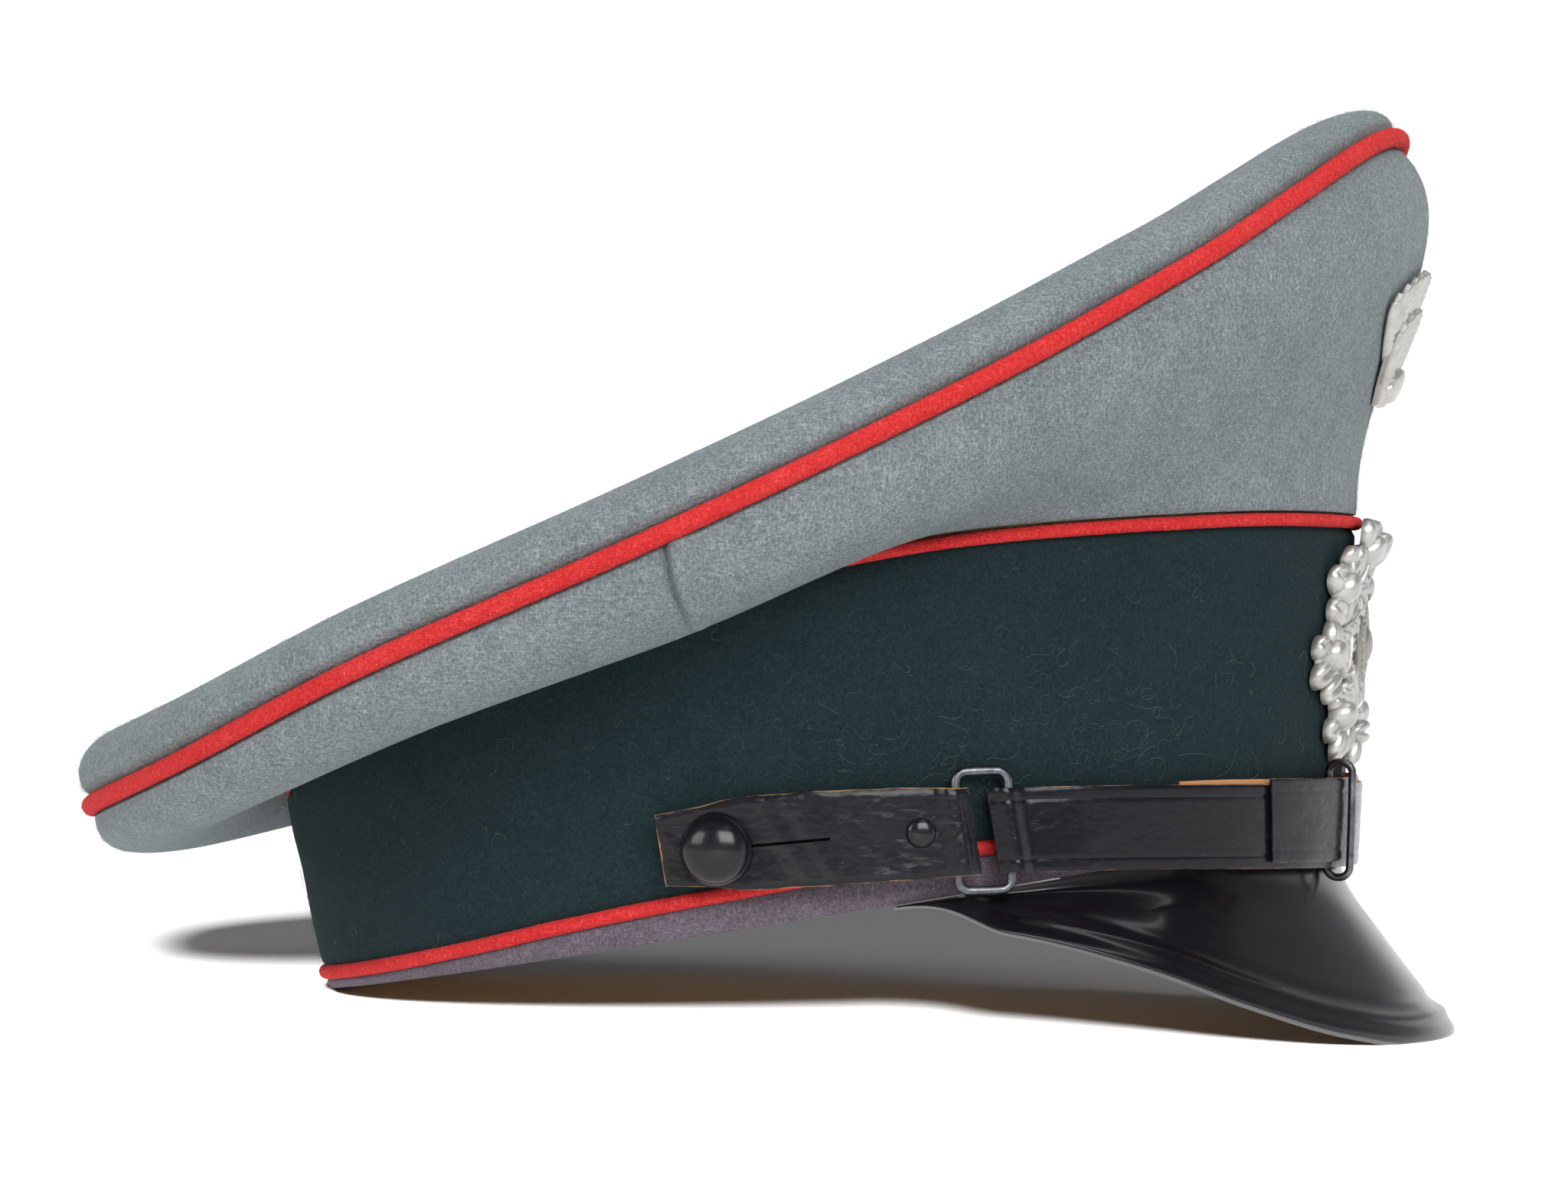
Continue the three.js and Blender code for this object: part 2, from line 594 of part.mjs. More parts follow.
function strapTab(side) {
  const last = Math.abs(ringAngle(side, -RING.play));
  const surface = (outer) => (u, v) => {
    const angle = side * (TAB.start + (last - TAB.start) * u);
    const bulge = swell(side, angle, -RING.leg);
    const standoff = outer ? TAB.outer + 1.5 * bulge : TAB.inner - 1.0 * bulge;
    const half = tabHalf(u);
    return onStrap(angle, (2 * v - 1) * half, standoff);
  };
  const leather = sheetSolid(surface(true), surface(false), 22, 2);
  const middle = onStrap(side * BUTTON.angle, 0, TAB.inner).setZ(BUTTON.height);
  const slitMiddle = middle.add(new THREE.Vector3(TAB.slit / 2, 0, -TAB.slitSlope * (TAB.slit / 2)));
  const slit = block([TAB.slit, 8, 0.7], slitMiddle, new THREE.Vector3(1, 0, -TAB.slitSlope).normalize());
  return cut(leather, [boreCutter(side, BUTTON.shank + 0.4), slit, ringLegCutter(side, -RING.leg),
    rivetCutter(side)]);
}

const rivetPlace = (side) => onStrap(side * RIVET.angle, 0, 0);

function rivetCutter(side) {
  const profile = [[0, -2], [1.2, -2], [1.2, 12], [0, 12]];
  return turned(profile, rivetPlace(side), outward(side * RIVET.angle), 10);
}

function tabRivet(side) {
  const [inner, outer] = [TAB.inner - GAP, TAB.outer + GAP];
  const foot = [[0, inner - 0.5], [RIVET.foot, inner - 0.5], [RIVET.foot, inner], [RIVET.shank, inner]];
  const head = [[RIVET.shank, outer], [RIVET.radius, outer], [RIVET.radius, outer + 0.4],
    [RIVET.radius * 0.75, outer + 1.1], [0, outer + 1.5]];
  const profile = [...foot, ...head];
  return turned(profile, rivetPlace(side), outward(side * RIVET.angle), 12);
}

/** A racetrack loop of wire in the plane of two directions. */
function wireLoop(centre, first, halfFirst, second, halfSecond, corner, radius) {
  const path = (u) => {
    const turn = 2 * Math.PI * u;
    const [c, s] = [Math.cos(turn), Math.sin(turn)];
    const [cornerX, cornerY] = [halfFirst - corner, halfSecond - corner];
    return centre.clone()
      .addScaledVector(first, Math.sign(c) * cornerX * Math.min(1, Math.abs(c) * 4) + corner * c)
      .addScaledVector(second, Math.sign(s) * cornerY * Math.min(1, Math.abs(s) * 4) + corner * s);
  };
  return loopSolid(path, radius, 28, 5, first.clone().cross(second).normalize());
}

function sideRing(side) {
  const { centre, ahead, up } = ringAxes(side);
  return wireLoop(centre, ahead, RING.leg, up, RING.half, RING.corner, RING.wire);
}

function strapLayer(from, to, inner, outer, half, lift, columns) {
  const surface = (standoff) => (u, v) =>
    onStrap(from + (to - from) * u, lift + (2 * v - 1) * half, standoff);
  return sheetSolid(surface(outer), surface(inner), columns, 2);
}

function strapSideRun(side) {
  const first = STRAP.joint + 0.2 * DEG;
  const last = Math.abs(ringAngle(side, RING.play));
  const surface = (outer) => (u, v) => {
    const angle = side * (first + (last - first) * u);
    const bulge = swell(side, angle, RING.leg);
    const standoff = outer
      ? THREE.MathUtils.lerp(STRAP.outer, RING.standoff + 2.4, bulge)
      : THREE.MathUtils.lerp(STRAP.inner, RING.standoff - 2.3, bulge);
    return onStrap(angle, (2 * v - 1) * STRAP.half, standoff);
  };
  return cut(sheetSolid(surface(true), surface(false), 14, 2), [ringLegCutter(side, RING.leg)]);
}

function strapSlider(name, side) {
  const angle = side * SLIDER[name];
  const middle = (SLIDER.inner + SLIDER.outer) / 2;
  const centre = onStrap(angle, SLIDER.lift, middle);
  const up = outward(angle).multiplyScalar(SLIDER.lean).add(UP).normalize();
  const along = outward(angle + 90 * DEG);
  const out = along.clone().cross(up).normalize();
  const depth = (SLIDER.outer - SLIDER.inner) / 2;
  return wireLoop(centre, out, depth, up, SLIDER.half, SLIDER.corner, SLIDER.wire);
}

/** The turned-back end of the strap that a slider carries. */
function sliderStrapEnd(name, side) {
  const [near, far] = [STRAP_END.near, STRAP_END.far].map((turn) => side * (SLIDER[name] + turn));
  return strapLayer(near, far, STRAP_END.inner, STRAP_END.outer, STRAP.half, STRAP_END.lift, 8);
}

// ---------------------------------------------------------------- assembly

const cap = new THREE.Group();
const band = new THREE.Group();
band.rotation.y = -REST_TILT;
cap.add(band);

function add(name, geometry, look) {
  const mesh = new THREE.Mesh(geometry, look);
  mesh.name = name;
  band.add(mesh);
}

const SIDES = [["left", 1], ["right", -1]];
const buttonBores = SIDES.map(([, side]) => boreCutter(side, BUTTON.shank + GAP));
const frontBores = [...prongSlots(),
  turned([[0, -12], [1.4, -12], [1.4, 6], [0, 6]], roundelPlace, frontNormal, 12)];

/** Cuts what would lie below the table off a piece, which leaves a small flat to rest on. */
function restCut(geometry) {
  const tableHeight = (oval.rearX - BAND.rearRadius) * Math.sin(REST_TILT) + CONTACT_SLICE;
  const slab = new THREE.BoxGeometry(500, 500, 100).translate(0, 0, tableHeight - 50);
  return cut(geometry, [positionsOnly(slab.rotateY(REST_TILT))]);
}

add("crown_top", crownTop(), MATERIAL.crownWool);
add("crown_front_panel",
  cut(crownPanel(-SIDE_SEAM + SEAM_GAP, SIDE_SEAM - SEAM_GAP, 34), upperProngSlots()), MATERIAL.crownWool);
add("crown_rear_panel_left", crownPanel(SIDE_SEAM, Math.PI - SEAM_GAP, 17), MATERIAL.crownWool);
add("crown_rear_panel_right", crownPanel(-Math.PI + SEAM_GAP, -SIDE_SEAM, 17), MATERIAL.crownWool);
add("crown_piping", crownPiping(), MATERIAL.piping);
add("crown_ring_wire", crownRingWire(), MATERIAL.steel);
add("front_stay", cut(frontStay(), upperProngSlots()), MATERIAL.stiffener);
add("crown_lining", crownLining(), MATERIAL.lining);
add("sweat_shield", sweatShield(), MATERIAL.shield);

add("band_cloth", cut(wallSheet(0, -LAYER.cloth, lowerEdge, bandClothTop, 48, 2),
  [...buttonBores, ...frontBores]), MATERIAL.bandWool);
add("band_stiffener", cut(wallSheet(LAYER.stiffenerOuter, LAYER.stiffenerInner, () => 1,
  (angle) => bandTop(angle) - 0.6, 40, 2), [...buttonBores, ...frontBores]), MATERIAL.stiffener);
add("band_upper_piping", bandPiping(bandTop, UPPER_PIPING, 0), MATERIAL.piping);
add("band_lower_piping", bandPiping(lowerPiping, LOWER_PIPING.radius, -LOWER_PIPING.sink), MATERIAL.piping);
add("band_base_strip", restCut(wallSheet(0, -LAYER.cloth, () => 0,
  (angle) => lowerPiping(angle) - LOWER_PIPING.radius - GAP, 48, 1)), MATERIAL.baseCloth);
add("sweatband", wallSheet(LAYER.sweatOuter, LAYER.sweatInner, () => 1.5,
  (angle) => bandTop(angle) * 0.72, 40, 2), MATERIAL.sweatLeather);
add("sweatband_bow", sweatbandBow(), MATERIAL.ribbon);

add("visor", restCut(visor()), MATERIAL.visor);
add("upper_badge", upperBadge(), MATERIAL.silver);
add("wreath_badge", wreathBadge(), MATERIAL.silver);
add("roundel", roundel(), MATERIAL.silver);

SIDES.forEach(([name, side]) => {
  add(`side_button_${name}`, sideButton(side), MATERIAL.blackMetal);
  add(`strap_tab_${name}`, strapTab(side), MATERIAL.strap);
  add(`tab_rivet_${name}`, tabRivet(side), MATERIAL.blackMetal);
  add(`side_ring_${name}`, sideRing(side), MATERIAL.darkWire);
  add(`strap_side_run_${name}`, strapSideRun(side), MATERIAL.strap);
  add(`slider_${name}`, strapSlider(name, side), MATERIAL.darkWire);
  add(`slider_strap_end_${name}`, sliderStrapEnd(name, side), MATERIAL.strap);
});
add("strap_inner_layer", strapLayer(-STRAP.joint, STRAP.joint, STRAP.inner, STRAP.innerTop,
  STRAP.half, STRAP.innerLift, 24), MATERIAL.strapInner);
add("strap_outer_layer", strapLayer(-STRAP.joint, STRAP.joint, STRAP.outerBase, STRAP.outer,
  STRAP.half, 0, 24), MATERIAL.strap);

// The origin sits under the middle of the cap, on the surface that it rests on.
cap.updateMatrixWorld(true);
const bounds = new THREE.Box3().setFromObject(cap, true);
cap.position.set(-(bounds.min.x + bounds.max.x) / 2, 0, -bounds.min.z);

export default cap;
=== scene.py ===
import math
import random

import bmesh
import bpy
import numpy as np
from mathutils import Matrix, Vector

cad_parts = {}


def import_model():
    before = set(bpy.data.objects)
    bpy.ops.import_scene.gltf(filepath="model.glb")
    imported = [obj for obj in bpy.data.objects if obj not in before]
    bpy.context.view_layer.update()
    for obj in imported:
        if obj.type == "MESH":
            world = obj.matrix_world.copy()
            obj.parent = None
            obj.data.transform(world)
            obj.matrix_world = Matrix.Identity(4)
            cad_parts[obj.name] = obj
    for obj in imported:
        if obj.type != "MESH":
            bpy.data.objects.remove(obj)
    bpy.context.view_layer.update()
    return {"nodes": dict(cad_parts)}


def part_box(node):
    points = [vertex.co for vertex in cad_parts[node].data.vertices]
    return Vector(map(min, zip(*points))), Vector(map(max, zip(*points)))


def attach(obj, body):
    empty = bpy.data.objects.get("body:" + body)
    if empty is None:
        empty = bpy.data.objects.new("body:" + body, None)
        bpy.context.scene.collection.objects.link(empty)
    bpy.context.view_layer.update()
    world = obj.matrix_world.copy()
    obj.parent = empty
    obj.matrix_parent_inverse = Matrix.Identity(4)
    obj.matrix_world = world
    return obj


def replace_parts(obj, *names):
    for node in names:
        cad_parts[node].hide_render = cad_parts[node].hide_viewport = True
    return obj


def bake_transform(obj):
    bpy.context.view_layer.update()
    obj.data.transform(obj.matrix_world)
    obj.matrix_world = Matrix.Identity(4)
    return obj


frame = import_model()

# ------------------------------------------------------------ dimensions, in millimetres
# The cap is drawn in the band frame: +X front, +Y left, +Z up from the band's lower edge.

DEG = math.pi / 180
TILT = 11.31 * DEG
FRONT, R_FRONT, R_SIDE, R_REAR, A_FRONT = 103.5, 76.0, 124.3, 85.5, 50 * DEG
REAR_LEAN, FRONT_LEAN = 0.057, 0.224
CONTACT_SLICE = 0.3
RIM_SHIFT = -4.0
RIM_PIPING, UPPER_PIPING, LOWER_PIPING = 1.9, 1.25, 1.4
LOWER_SINK = 0.6
CROWN_SAG = -6.0
SEAM = 87 * DEG
BUTTON_HEIGHT, BUTTON_SHANK = 15.8, 1.3
RING_ANGLE, RING_LEG, RING_HALF, RING_WIRE, RING_OUT = 68.2 * DEG, 5.1, 11.1, 0.9, 3.9
TAB_START, TAB_IN, TAB_OUT, TAB_SLIT = 94.7 * DEG, 2.6, 4.8, 21.0
RIVET_ANGLE = 73.4 * DEG
STRAP_IN, STRAP_MID, STRAP_OUT, STRAP_HALF, STRAP_JOINT = 2.85, 3.6, 4.45, 7.9, 50 * DEG
SLIDER = {"left": 26 * DEG, "right": 14.6 * DEG}
SLIDER_IN, SLIDER_OUT, SLIDER_HALF, SLIDER_WIRE, SLIDER_LEAN = 1.75, 6.65, 11.2, 0.75, 0.205
SLIDER_LIFT = 1.1
END_IN, END_OUT, END_NEAR, END_FAR, END_LIFT = 4.75, 5.4, -1.4 * DEG, 20.4 * DEG, 1.2
SWEAT_OUT, SWEAT_IN = -5.9, -7.1
WREATH_Z = 35.2
CROWN_RADIUS = 118.0
BADGE_RADIUS = 105.0
TABLE = 0.00002
SIDES = (("left", 1), ("right", -1))


# ------------------------------------------------------------ curves, on arrays

def through(pairs):
    """A smooth curve through (place, value) pairs, level at both ends."""
    places = np.array([p for p, _ in pairs], float)
    values = np.array([v for _, v in pairs], float)
    slopes = np.zeros(len(pairs))
    slopes[1:-1] = (values[2:] - values[:-2]) / (places[2:] - places[:-2])

    def curve(place):
        i = np.clip(np.searchsorted(places, place, side="left") - 1, 0, len(pairs) - 2)
        span = places[i + 1] - places[i]
        t = np.clip((place - places[i]) / span, 0, 1)
        rise = 3 * t * t - 2 * t ** 3
        ease = span * t * (1 - t) * (slopes[i] * (1 - t) - slopes[i + 1] * t)
        return values[i] + (values[i + 1] - values[i]) * rise + ease
    return curve


def around(pairs):
    curve = through(pairs)
    return lambda angle: curve(np.abs(angle) / DEG)


rim_height = through([(-150, 43), (-110, 46.8), (-60, 59.2), (0, 73.3), (60, 91.7), (100, 108.3),
                      (120, 119.6), (138, 131.8), (170, 150)])
band_top = around([(0, 58.4), (45, 62), (71, 65), (95, 61), (135, 48.5), (180, 38.5)])
lower_piping = around([(0, 8), (68, 8), (95, 7), (118, 4.7), (140, 3.6), (180, 3.6)])
rim_offset = around([(0, 38), (45, 36.8), (90, 36.5), (180, 36.5)])
roll_height = around([(0, 0.8), (50, 0.95), (110, 1), (180, 1.15)])
rim_out = around([(0, 14), (45, 6), (90, 1.5), (180, 2)])
rim_drop = around([(0, 18), (45, 20), (90, 19), (180, 14)])
foot_out = around([(0, 3), (45, 5), (71, 7), (90, 7), (180, 9.5)])
foot_rise = around([(0, 27.5), (45, 14), (71, -2), (90, -14), (135, -12), (180, -9)])
visor_drop = through([(-200, 0), (20, -0.8), (49, -8.8), (71, -19), (87, -28.8), (104, -38.4),
                      (119.7, -44), (300, -44)])
visor_width = through([(0, 0), (0.25, 0.03), (0.5, 0.33), (0.8, 0.74), (1, 1)])


def strap_height(x):
    return 16.13 - 0.083 * x - 0.00062 * x * x


def smoothstep(x, low, high):
    t = np.clip((x - low) / (high - low), 0, 1)
    return t * t * (3 - 2 * t)


FRONT_X = FRONT - R_FRONT
SIDE_X = FRONT_X - (R_SIDE - R_FRONT) * math.cos(A_FRONT)
SIDE_Y = -(R_SIDE - R_FRONT) * math.sin(A_FRONT)
REAR_ANGLE = math.pi - math.asin(-SIDE_Y / (R_SIDE - R_REAR))
REAR_X = SIDE_X + (R_SIDE - R_REAR) * math.cos(REAR_ANGLE)


def stack(x, y, z):
    return np.stack(np.broadcast_arrays(x, y, z), axis=-1)


def oval_point(angle, offset, z):
    """A point of the head oval of four arcs, moved outward by an offset."""
    angle = np.asarray(angle, float)
    turn = np.abs(angle)
    rear, side = turn > REAR_ANGLE, turn > A_FRONT
    x = np.where(rear, REAR_X, np.where(side, SIDE_X, FRONT_X))
    y = np.where(rear | ~side, 0.0, SIDE_Y)
    reach = np.where(rear, R_REAR, np.where(side, R_SIDE, R_FRONT)) + offset
    sign = np.where(angle < 0, -1.0, 1.0)
    return stack(x + reach * np.cos(turn), sign * (y + reach * np.sin(turn)), z)


def outward(angle):
    return stack(np.cos(angle), np.sin(angle), 0.0)


UP = np.array((0.0, 0.0, 1.0))


def wall_lean(angle):
    return REAR_LEAN + (FRONT_LEAN - REAR_LEAN) * ((1 + np.cos(angle)) / 2) ** 2


def on_wall(angle, z, standoff):
    return oval_point(angle, wall_lean(angle) * z + standoff, z)


def on_strap(angle, rise, standoff):
    middle = strap_height(oval_point(angle, standoff, 0.0)[..., 0])
    upright = smoothstep(np.abs(angle), 55 * DEG, 66 * DEG)
    lean = wall_lean(angle) * (middle + rise * (1 - upright))
    return oval_point(angle, lean + standoff, middle + rise)


def unit(vectors):
    return vectors / np.maximum(np.linalg.norm(vectors, axis=-1, keepdims=True), 1e-9)


# ------------------------------------------------------------ from the band frame to the scene

BASE_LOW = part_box("band_base_strip")[0]
STRIP_TOP = float(lower_piping(math.pi)) - LOWER_PIPING - 0.3
REAR_EDGE = oval_point(math.pi, REAR_LEAN * STRIP_TOP, STRIP_TOP)
ORIGIN_X = BASE_LOW[0] * 1000 - (REAR_EDGE[0] * math.cos(TILT) - STRIP_TOP * math.sin(TILT))
ORIGIN_Z = -((REAR_X - R_REAR) * math.sin(TILT) + CONTACT_SLICE)


def world(points):
    """Band frame millimetres to scene metres."""
    points = np.asarray(points, float)
    x, y, z = points[..., 0], points[..., 1], points[..., 2]
    return stack(ORIGIN_X + x * math.cos(TILT) - z * math.sin(TILT), y,
                 ORIGIN_Z + x * math.sin(TILT) + z * math.cos(TILT)) / 1000


# ------------------------------------------------------------ meshes

SHARP, MERGE, SURFACE_STEP = 35, 1e-7, 1e-3

def add_object(name, mesh, material):
    piece = bpy.data.objects.new(name, mesh)
    bpy.context.scene.collection.objects.link(piece)
    mesh.materials.append(material)
    return piece


def smooth(mesh, sharp):
    """Smooth shading, apart from edges sharper than an angle in degrees."""
    mesh.shade_smooth()
    mesh.set_sharp_from_angle(angle=sharp * DEG)


def add_wear(mesh, weights):
    layer = mesh.attributes.new("wear", "FLOAT", "POINT")
    layer.data.foreach_set("value", np.asarray(weights, np.float32))


def new_object(name, verts, faces, material, sharp=SHARP, weights=None):
    mesh = bpy.data.meshes.new(name)
    mesh.from_pydata(verts, [], faces)
    mesh.validate()
    bm = bmesh.new()
    bm.from_mesh(mesh)
    bmesh.ops.remove_doubles(bm, verts=bm.verts, dist=MERGE)
    bmesh.ops.recalc_face_normals(bm, faces=bm.faces)
    bm.to_mesh(mesh)
    bm.free()
    if weights is not None and len(mesh.vertices) == len(weights):
        add_wear(mesh, weights)
    smooth(mesh, sharp)
    return add_object(name, mesh, material)


def fit(piece, node, body="cap"):
    """Makes a piece ride a body and, where one is named, take a CAD node's place."""
    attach(piece, body)
    if node:
        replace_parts(piece, node)


def grid_faces(columns, rows, wrap_u, wrap_v, base=0, flip=False):
    faces = []
    nu, nv = (columns if wrap_u else columns + 1), (rows if wrap_v else rows + 1)
    for i in range(columns):
        for j in range(rows):
            a, b = i * nv + j, ((i + 1) % nu) * nv + j
            c, d = ((i + 1) % nu) * nv + (j + 1) % nv, i * nv + (j + 1) % nv
            face = (a + base, b + base, c + base, d + base)
            faces.append(face[::-1] if flip else face)
    return faces


def grid_uv(columns, rows, wrap_u=False, wrap_v=False):
    u = np.arange(columns if wrap_u else columns + 1) / columns
    v = np.arange(rows if wrap_v else rows + 1) / rows
    return np.meshgrid(u, v, indexing="ij")


def closed_sheet(name, outer, inner, columns, rows, material, wraps=False, sharp=35, wear=None):
    """A closed sheet between two surfaces, each a function of arrays (u, v)."""
    u, v = grid_uv(columns, rows, wraps)
    front, back = outer(u, v), inner(u, v)
    count = u.size
    verts = np.concatenate([world(front).reshape(-1, 3), world(back).reshape(-1, 3)])
    faces = grid_faces(columns, rows, wraps, False)
    faces += grid_faces(columns, rows, wraps, False, count, True)
    nu, nv = u.shape
    for i in range(columns):
        k = (i + 1) % nu
        faces.append((i * nv, i * nv + count, k * nv + count, k * nv))
        faces.append((i * nv + rows, k * nv + rows, k * nv + rows + count, i * nv + rows + count))
    for j in range(rows):
        if not wraps:
            last = columns * nv
            faces.append((j, j + 1, j + 1 + count, j + count))
            faces.append((last + j, last + j + count, last + j + 1 + count, last + j + 1))
    weights = None
    if wear is not None:
        amount = wear(u, v).reshape(-1)
        weights = np.concatenate([amount, amount])
    return new_object(name, verts.tolist(), faces, material, sharp, weights)


def moved_out(surface, distance):
    """A surface a distance off another, along its normals."""
    def moved(u, v):
        along_u = surface(u + SURFACE_STEP, v) - surface(u - SURFACE_STEP, v)
        v0, v1 = np.clip(v - SURFACE_STEP, 0, 1), np.clip(v + SURFACE_STEP, 0, 1)
        along_v = surface(u, v1) - surface(u, v0)
        return surface(u, v) + unit(np.cross(along_u, along_v)) * distance
    return moved


def tube_parts(centres, radius, sides, closed, across, base=0):
    """Verts and faces of a round tube along points; radius may vary along it."""
    centres = np.asarray(centres, float)
    count = len(centres)
    ahead = np.roll(centres, -1, 0) - np.roll(centres, 1, 0)
    if not closed:
        ahead[0], ahead[-1] = centres[1] - centres[0], centres[-1] - centres[-2]
    tangent = unit(ahead)
    first = unit(np.cross(tangent, np.asarray(across, float)))
    second = np.cross(tangent, first)
    turn = np.arange(sides) * 2 * math.pi / sides
    radius = np.broadcast_to(np.asarray(radius, float), (count,))[:, None, None]
    rings = centres[:, None] + radius * (first[:, None] * np.cos(turn)[None, :, None]
                                         + second[:, None] * np.sin(turn)[None, :, None])
    faces = grid_faces(count if closed else count - 1, sides, closed, True, base)
    if not closed:
        faces.append(tuple(base + k for k in range(sides))[::-1])
        faces.append(tuple(base + (count - 1) * sides + k for k in range(sides)))
    return rings.reshape(-1, 3), faces


def tube(name, centres, radius, material, sides=12, closed=True, across=UP):
    verts, faces = tube_parts(world(centres), np.asarray(radius) / 1000, sides, closed, rotated(across))
    return new_object(name, verts.tolist(), faces, material, 60)


def rotated(direction):
    x, y, z = direction
    return np.array((x * math.cos(TILT) - z * math.sin(TILT), y, x * math.sin(TILT) + z * math.cos(TILT)))


def turned(name, profile, place, direction, material, segments=64, sharp=35):
    """A turned piece whose axis runs from a place along a direction, both in the band frame."""
    axis = unit(np.asarray(direction, float))
    first = unit(np.cross(axis, UP + 0.01))
    second = np.cross(axis, first)
    verts, faces = [], []
    count = len(profile)
    for k in range(segments):
        turn = 2 * math.pi * k / segments
        spoke = first * math.cos(turn) + second * math.sin(turn)
        verts += [place + spoke * r + axis * h for r, h in profile]
    for k in range(segments):
        a, b = k * count, ((k + 1) % segments) * count
        faces += [(a + i, b + i, b + i + 1, a + i + 1) for i in range(count - 1)]
    return new_object(name, world(verts).tolist(), faces, material, sharp)


def joined(name, pieces):
    """Joins objects that share one material into the first of them."""
    bm = bmesh.new()
    for piece in pieces:
        bm.from_mesh(piece.data)
    material = pieces[0].data.materials[0]
    mesh = bpy.data.meshes.new(name)
    bm.to_mesh(mesh)
    bm.free()
    for piece in pieces:
        bpy.data.objects.remove(piece)
    smooth(mesh, SHARP)
    return add_object(name, mesh, material)


def cut_away(piece, cutters):
    """Cuts solids out of a piece and applies the result."""
    for cutter in cutters:
        modifier = piece.modifiers.new("cut", "BOOLEAN")
        modifier.operation = "DIFFERENCE"
        modifier.solver = "EXACT"
        modifier.object = cutter
    graph = bpy.context.evaluated_depsgraph_get()
    mesh = bpy.data.meshes.new_from_object(piece.evaluated_get(graph))
    piece.modifiers.clear()
    piece.data = mesh
    for cutter in cutters:
        bpy.data.objects.remove(cutter)
    smooth(mesh, SHARP)


# ------------------------------------------------------------ materials

class Look:
    """A procedural material under construction."""

    def __init__(self, name, **values):
        self.material = bpy.data.materials.new(name)
        self.material.use_nodes = True
        self.tree = self.material.node_tree
        self.shader = self.tree.nodes["Principled BSDF"]
        for socket, value in values.items():
            self.shader.inputs[socket.replace("_", " ")].default_value = value
        self.place = self.tree.nodes.new("ShaderNodeTexCoord").outputs["Object"]

    def node(self, kind, inputs=None, **settings):
        made = self.tree.nodes.new("ShaderNode" + kind)
        for key, value in settings.items():
            setattr(made, key, value)
        for key, value in (inputs or {}).items():
            if isinstance(value, bpy.types.NodeSocket):
                self.tree.links.new(value, made.inputs[key])
            else:
                made.inputs[key].default_value = value
        return made

    def stretched(self, scale, turn=(0, 0, 0)):
        inputs = {"Vector": self.place, "Rotation": turn, "Scale": scale}
        return self.node("Mapping", inputs).outputs["Vector"]

    def noise(self, scale, detail=4.0, roughness=0.55, vector=None, distortion=0.0):
        made = self.node("TexNoise", {"Vector": vector or self.place, "Scale": scale, "Detail": detail,
                                      "Roughness": roughness, "Distortion": distortion})
        return made.outputs["Fac"]

    def ramp(self, value, low, high, a=0.0, b=1.0):
        made = self.node("MapRange", {"Value": value, "From Min": low, "From Max": high,
                                      "To Min": a, "To Max": b})
        return made.outputs["Result"]

    def math(self, operation, a, b=0.5):
        return self.node("Math", {0: a, 1: b}, operation=operation).outputs[0]

    def mix(self, fac, a, b, kind="MIX"):
        made = self.node("Mix", {0: fac, 6: a, 7: b}, data_type="RGBA", blend_type=kind)
        return made.outputs[2]

    def attribute(self, name):
        return self.node("Attribute", attribute_name=name).outputs["Fac"]

    def bump(self, height, strength, distance, normal=None):
        inputs = {"Height": height, "Strength": strength, "Distance": distance}
        if normal is not None:
            inputs["Normal"] = normal
        return self.node("Bump", inputs).outputs["Normal"]

    def set(self, **sockets):
        for name, value in sockets.items():
            self.tree.links.new(value, self.shader.inputs[name.replace("_", " ")])
        return self.material


def fibre_field(look, scale, thin=14.0):
    """Fine felted fibres: three crossing families of streaks, mixed by a slow noise."""
    families = [look.noise(scale, 3, 0.6, look.stretched((1, thin, thin), (0.3, 0.2, 0.1)), 0.6),
                look.noise(scale, 3, 0.6, look.stretched((thin, 1.4, thin), (0.5, -0.3, 0.6)), 0.6),
                look.noise(scale, 3, 0.6, look.stretched((thin, thin, 1.2), (-0.5, 0.7, 0.3)), 0.6)]
    half = look.math("MAXIMUM", families[0], families[1])
    return look.math("MAXIMUM", half, families[2])


def wool(name, dark, base, light, sheen, nap=1.0, blotch=0.5, scale=1.0):
    """Felted wool: crossing fibres of two sizes over small soft blotches."""
    look = Look(name, Roughness=0.95, Sheen_Weight=sheen, Sheen_Roughness=0.4,
                Specular_IOR_Level=0.1)
    look.shader.inputs["Sheen Tint"].default_value = (*[min(1, c * 2.2 + 0.1) for c in light[:3]], 1)
    fibres = fibre_field(look, 300 * scale, 9)
    small = fibre_field(look, 640 * scale, 6)
    grains = look.noise(1500, 3, 0.65)
    patch = look.noise(150, 4, 0.6)
    cloud = look.noise(38, 3, 0.5)
    tone = look.math("ADD", look.ramp(fibres, 0.5, 0.72, 0, 0.62), look.ramp(small, 0.48, 0.74, -0.14, 0.55))
    tone = look.math("ADD", tone, look.ramp(grains, 0.35, 0.65, -0.2, 0.2))
    tone = look.math("ADD", tone, look.ramp(patch, 0.34, 0.66, -0.3 * blotch, 0.3 * blotch))
    tone = look.math("ADD", tone, look.ramp(cloud, 0.34, 0.66, -0.2 * blotch, 0.2 * blotch))
    low = look.mix(look.ramp(tone, -0.1, 0.42), (*dark, 1), (*base, 1))
    color = look.mix(look.ramp(tone, 0.42, 1.15), low, (*light, 1))
    normal = look.bump(fibres, 0.75 * nap, 0.0004)
    normal = look.bump(small, 0.6 * nap, 0.00022, normal)
    return look.set(Base_Color=color, Normal=normal)


